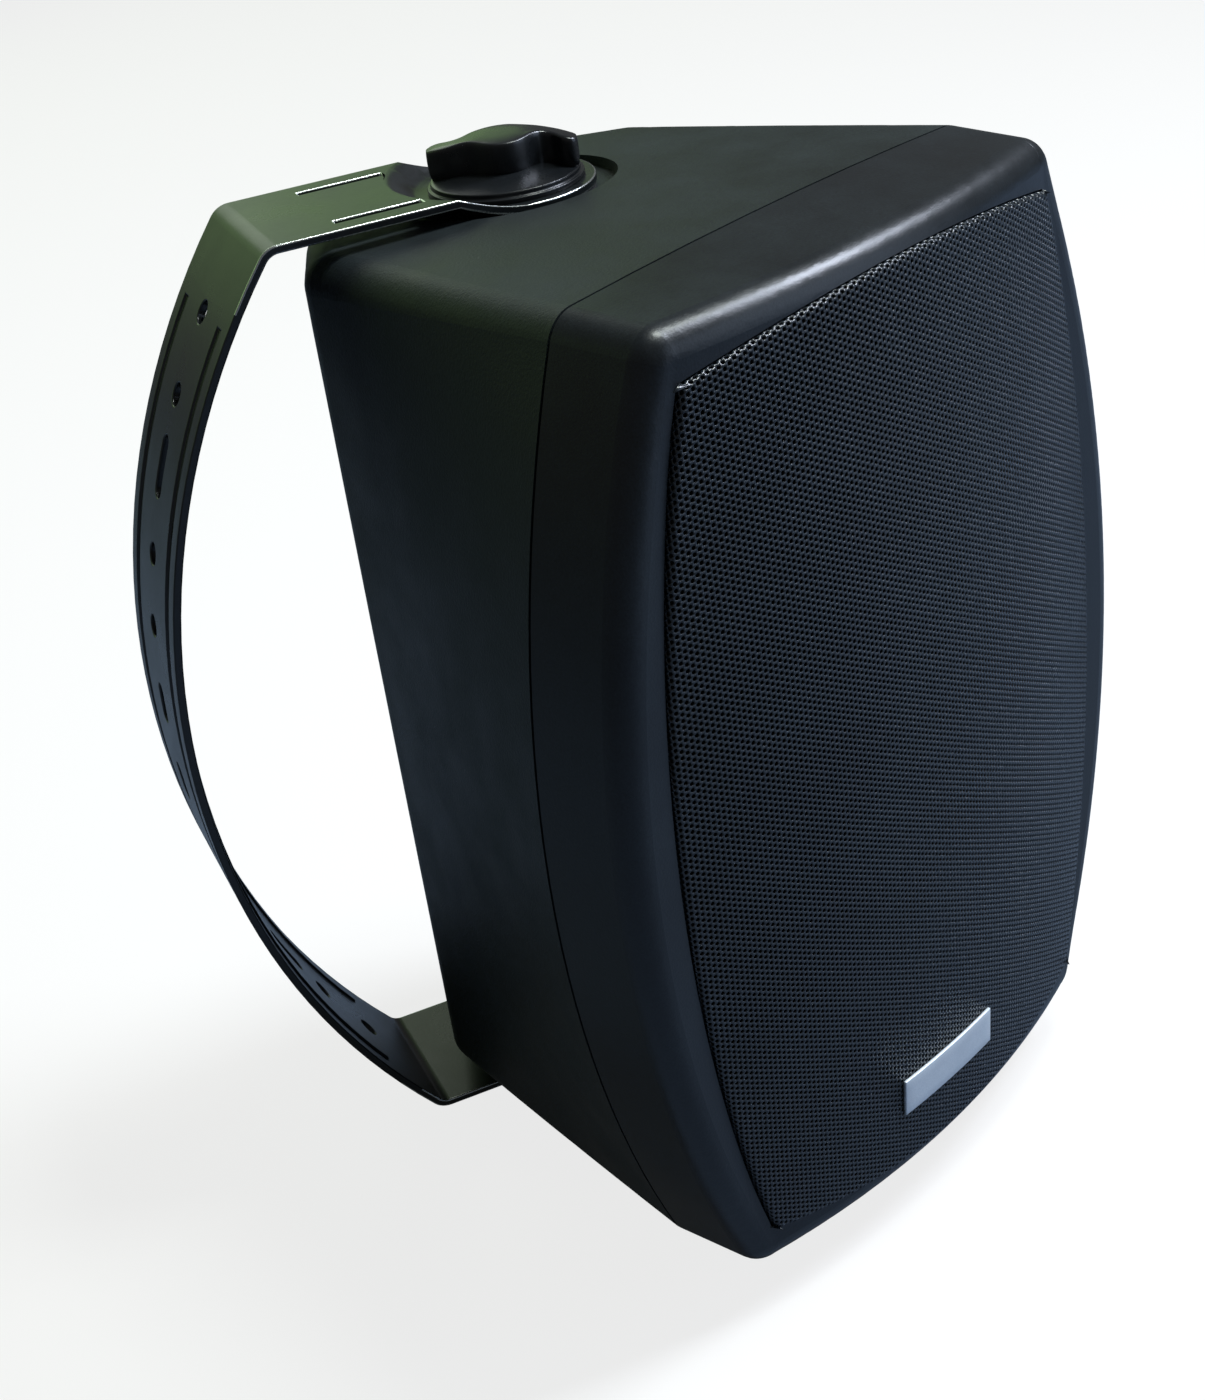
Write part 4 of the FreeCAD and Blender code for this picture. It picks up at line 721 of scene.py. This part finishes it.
@dataclass
class StripBracket:
    """Bent steel strip with dished tabs, its sheared edges rounded under the paint.

    Lengths are in millimetres and angles in degrees. Beyond the worn level, above and below,
    the paint is gone from the edges.
    """

    edge_radius: float = 0.5
    sharp: float = 40.0
    flat: float = 0.4
    weld: float = 0.001
    worn_level: float = 138.0

    def build(self, palette: Palette) -> None:
        """Round the sharp edges of the strip and bare the worn ones.

        Args:
            palette: materials of the object.
        """
        mesh = bmesh.new()
        mesh.from_mesh(frame["nodes"]["bracket"].data)
        bmesh.ops.remove_doubles(mesh, verts=mesh.verts, dist=self.weld * MM)
        bmesh.ops.dissolve_limit(mesh, angle_limit=math.radians(self.flat), verts=mesh.verts,
                                 edges=mesh.edges)
        limit = math.radians(self.sharp)
        edges = [edge for edge in mesh.edges if edge.is_manifold and edge.calc_face_angle(0.0) > limit]
        rounded = bmesh.ops.bevel(mesh, geom=edges, offset=self.edge_radius * MM, offset_type="OFFSET",
                                  segments=3, profile=0.5, affect="EDGES", material=-1)
        mesh.faces.index_update()
        level = self.worn_level * MM
        worn = [face.index for face in rounded["faces"] if abs(face.calc_center_median().z) > level]
        piece = Piece("strip_bracket", Body.BRACKET, "bracket_paint", ("bracket",))
        piece.modifiers.append(("WEIGHTED_NORMAL", {"keep_sharp": True}))
        thing = piece.finish(mesh, palette)
        thing.data.materials.append(palette.materials["worn_steel"])
        for index in worn:
            thing.data.polygons[index].material_index = 1


@dataclass(frozen=True)
class PhotoCamera:
    """Camera at the photograph's viewing point, in cabinet axes and millimetres."""

    eye: tuple[float, float, float] = (-431.8, -364.8, 322.8)
    forward: tuple[float, float, float] = (0.5998, 0.6344, -0.4877)
    up: tuple[float, float, float] = (0.435, 0.253, 0.8641)
    focal_px: float = 2184.45
    frame_height_px: float = 1400.0
    sensor: float = 36.0
    near: float = 10.0

    def build(self, axes: CabinetAxes) -> None:
        """Add the camera and make it the scene's own.

        Args:
            axes: axes of the cabinet.
        """
        data = bpy.data.cameras.new("photo_camera")
        data.sensor_width = self.sensor
        data.lens = self.sensor * self.focal_px / self.frame_height_px
        data.clip_start = self.near * MM
        camera = bpy.data.objects.new("photo_camera", data)
        back = -Vector(self.forward).normalized()
        right = Vector(self.up).cross(back).normalized()
        upright = back.cross(right)
        turn = Matrix((right, upright, back)).transposed().to_4x4()
        camera.matrix_world = Matrix.Translation(axes.origin + Vector(self.eye) * MM) @ turn
        bpy.context.scene.collection.objects.link(camera)
        bpy.context.scene.camera = camera


@dataclass(frozen=True)
class LampPanel:
    """Soft rectangular lamp: place and size in metres, power in watts, sRGB hex colour."""

    name: str
    place: tuple[float, float, float]
    size: tuple[float, float]
    watts: float
    colour: str

    def hang(self, aim: Vector) -> None:
        """Hang the lamp.

        Args:
            aim: point that it faces.
        """
        data = bpy.data.lights.new(self.name, "AREA")
        data.shape = "RECTANGLE"
        data.size, data.size_y = self.size
        data.energy = self.watts
        data.color = linear(self.colour)[:3]
        lamp = bpy.data.objects.new(self.name, data)
        lamp.location = self.place
        lamp.rotation_euler = (aim - Vector(self.place)).to_track_quat("-Z", "Y").to_euler()
        bpy.context.scene.collection.objects.link(lamp)


@dataclass(frozen=True)
class Studio:
    """Pale floor, pale surroundings and soft lamps.

    Lengths are in metres. The camera sees floor and surroundings white, and mirror rays see only
    the mirrored share of that, so that black surfaces stay black.
    """

    floor_half: float = 6.0
    floor_gap: float = 0.004
    floor_roughness: float = 0.9
    floor_colour: str = "f4f4f2"
    floor_mirrored: str = "5f7088"
    floor_glow: float = 0.80
    ambient: float = 0.07
    mirrored: float = 0.06
    lamps: tuple[LampPanel, ...] = (
        LampPanel("key", (1.10, -0.66, 1.30), (0.45, 0.45), 30.0, "e6eeff"),
        LampPanel("overhead", (0.52, -0.40, 1.52), (0.35, 0.35), 18.0, "f2fbf6"),
        LampPanel("rear_panel", (0.10, 1.70, 0.75), (3.5, 1.0), 7.5, "aae084"),
        LampPanel("rear_fill", (0.75, 1.60, 1.15), (0.9, 0.9), 3.0, "f0f6ee"),
        LampPanel("front_fill", (1.00, -1.60, 0.45), (1.2, 1.2), 8.0, "cfe2ff"))

    def white_share(self, tree: bpy.types.NodeTree) -> tuple[bpy.types.Node, bpy.types.NodeSocket]:
        """Add the nodes that give how much of the white background a ray sees.

        Args:
            tree: node tree of the floor or of the surroundings.

        Returns:
            The Light Path node, and the share: 1 for the camera, the mirrored share for glossy and
            transmission rays, 0 for the light on the object.
        """
        path = add_node(tree, "ShaderNodeLightPath")
        mirror = add_node(tree, "ShaderNodeMath", {
            0: path.outputs["Is Glossy Ray"], 1: path.outputs["Is Transmission Ray"]},
            operation="MAXIMUM")
        dimmed = add_node(tree, "ShaderNodeMath", {0: mirror.outputs["Value"], 1: self.mirrored},
                          operation="MULTIPLY")
        seen = add_node(tree, "ShaderNodeMath", {
            0: path.outputs["Is Camera Ray"], 1: dimmed.outputs["Value"]}, operation="MAXIMUM")
        return path, seen.outputs["Value"]

    def floor_paint(self) -> bpy.types.Material:
        """Make the floor's material, which glows to the camera and keeps the object's shadow.

        Returns:
            The finished material.
        """
        material, tree, shader = new_material("pale_floor_paint")
        shader.inputs["Roughness"].default_value = self.floor_roughness
        path, seen = self.white_share(tree)
        paint = add_node(tree, "ShaderNodeMix", {
            0: path.outputs["Is Camera Ray"], 6: linear(self.floor_mirrored),
            7: linear(self.floor_colour)}, data_type="RGBA")
        tree.links.new(paint.outputs[2], shader.inputs["Base Color"])
        share = add_node(tree, "ShaderNodeMath", {0: seen, 1: self.floor_glow}, operation="MULTIPLY")
        glow = add_node(tree, "ShaderNodeEmission", {"Color": WHITE, "Strength": 1.0})
        mixed = add_node(tree, "ShaderNodeMixShader", {
            0: share.outputs["Value"], 1: shader.outputs["BSDF"], 2: glow.outputs["Emission"]})
        output = next(n for n in tree.nodes if n.type == "OUTPUT_MATERIAL")
        tree.links.new(mixed.outputs["Shader"], output.inputs["Surface"])
        return material

    def floor(self) -> None:
        """Lay the floor just under the object."""
        mesh = bmesh.new()
        bmesh.ops.create_grid(mesh, x_segments=1, y_segments=1, size=self.floor_half)
        data = bpy.data.meshes.new("pale_floor")
        mesh.to_mesh(data)
        mesh.free()
        data.transform(Matrix.Translation((0, 0, CAD_BOX[0][2] - self.floor_gap)))
        data.materials.append(self.floor_paint())
        thing = bpy.data.objects.new("pale_floor", data)
        bpy.context.scene.collection.objects.link(thing)

    def surroundings(self) -> None:
        """Make the surroundings: white to the camera, a soft even grey to the object."""
        world = bpy.data.worlds.new("studio")
        bpy.context.scene.world = world
        world.use_nodes = True
        tree = world.node_tree
        tree.nodes.clear()
        seen = self.white_share(tree)[1]
        strength = add_node(tree, "ShaderNodeMapRange", {
            "Value": seen, "To Min": self.ambient, "To Max": 1.0})
        back = add_node(tree, "ShaderNodeBackground", {
            "Color": WHITE, "Strength": strength.outputs["Result"]})
        add_node(tree, "ShaderNodeOutputWorld", {"Surface": back.outputs["Background"]})

    def build(self, aim: Vector) -> None:
        """Set floor, surroundings and lamps.

        Args:
            aim: point that the lamps face.
        """
        self.floor()
        self.surroundings()
        for lamp in self.lamps:
            lamp.hang(aim)


def main() -> None:
    """Build every sub-assembly in order, then the camera and the studio."""
    logging.basicConfig(level=logging.INFO)
    bpy.context.scene.view_settings.view_transform = "Standard"
    palette = Palette()
    palette.dress_frame()
    axes = CabinetAxes.from_frame()
    grille = Grille(axes)
    grille.build(palette)
    BadgePlate(grille).build(palette)
    StripBracket().build(palette)
    ClampKnob("top_wing_knob", "top_knob", Body.TOP_CLAMP, 1).build(palette)
    ClampKnob("bottom_wing_knob", "bottom_knob", Body.BOTTOM_CLAMP, -1).build(palette)
    PhotoCamera().build(axes)
    Studio().build(axes.origin)


if __name__ == "__main__":
    main()
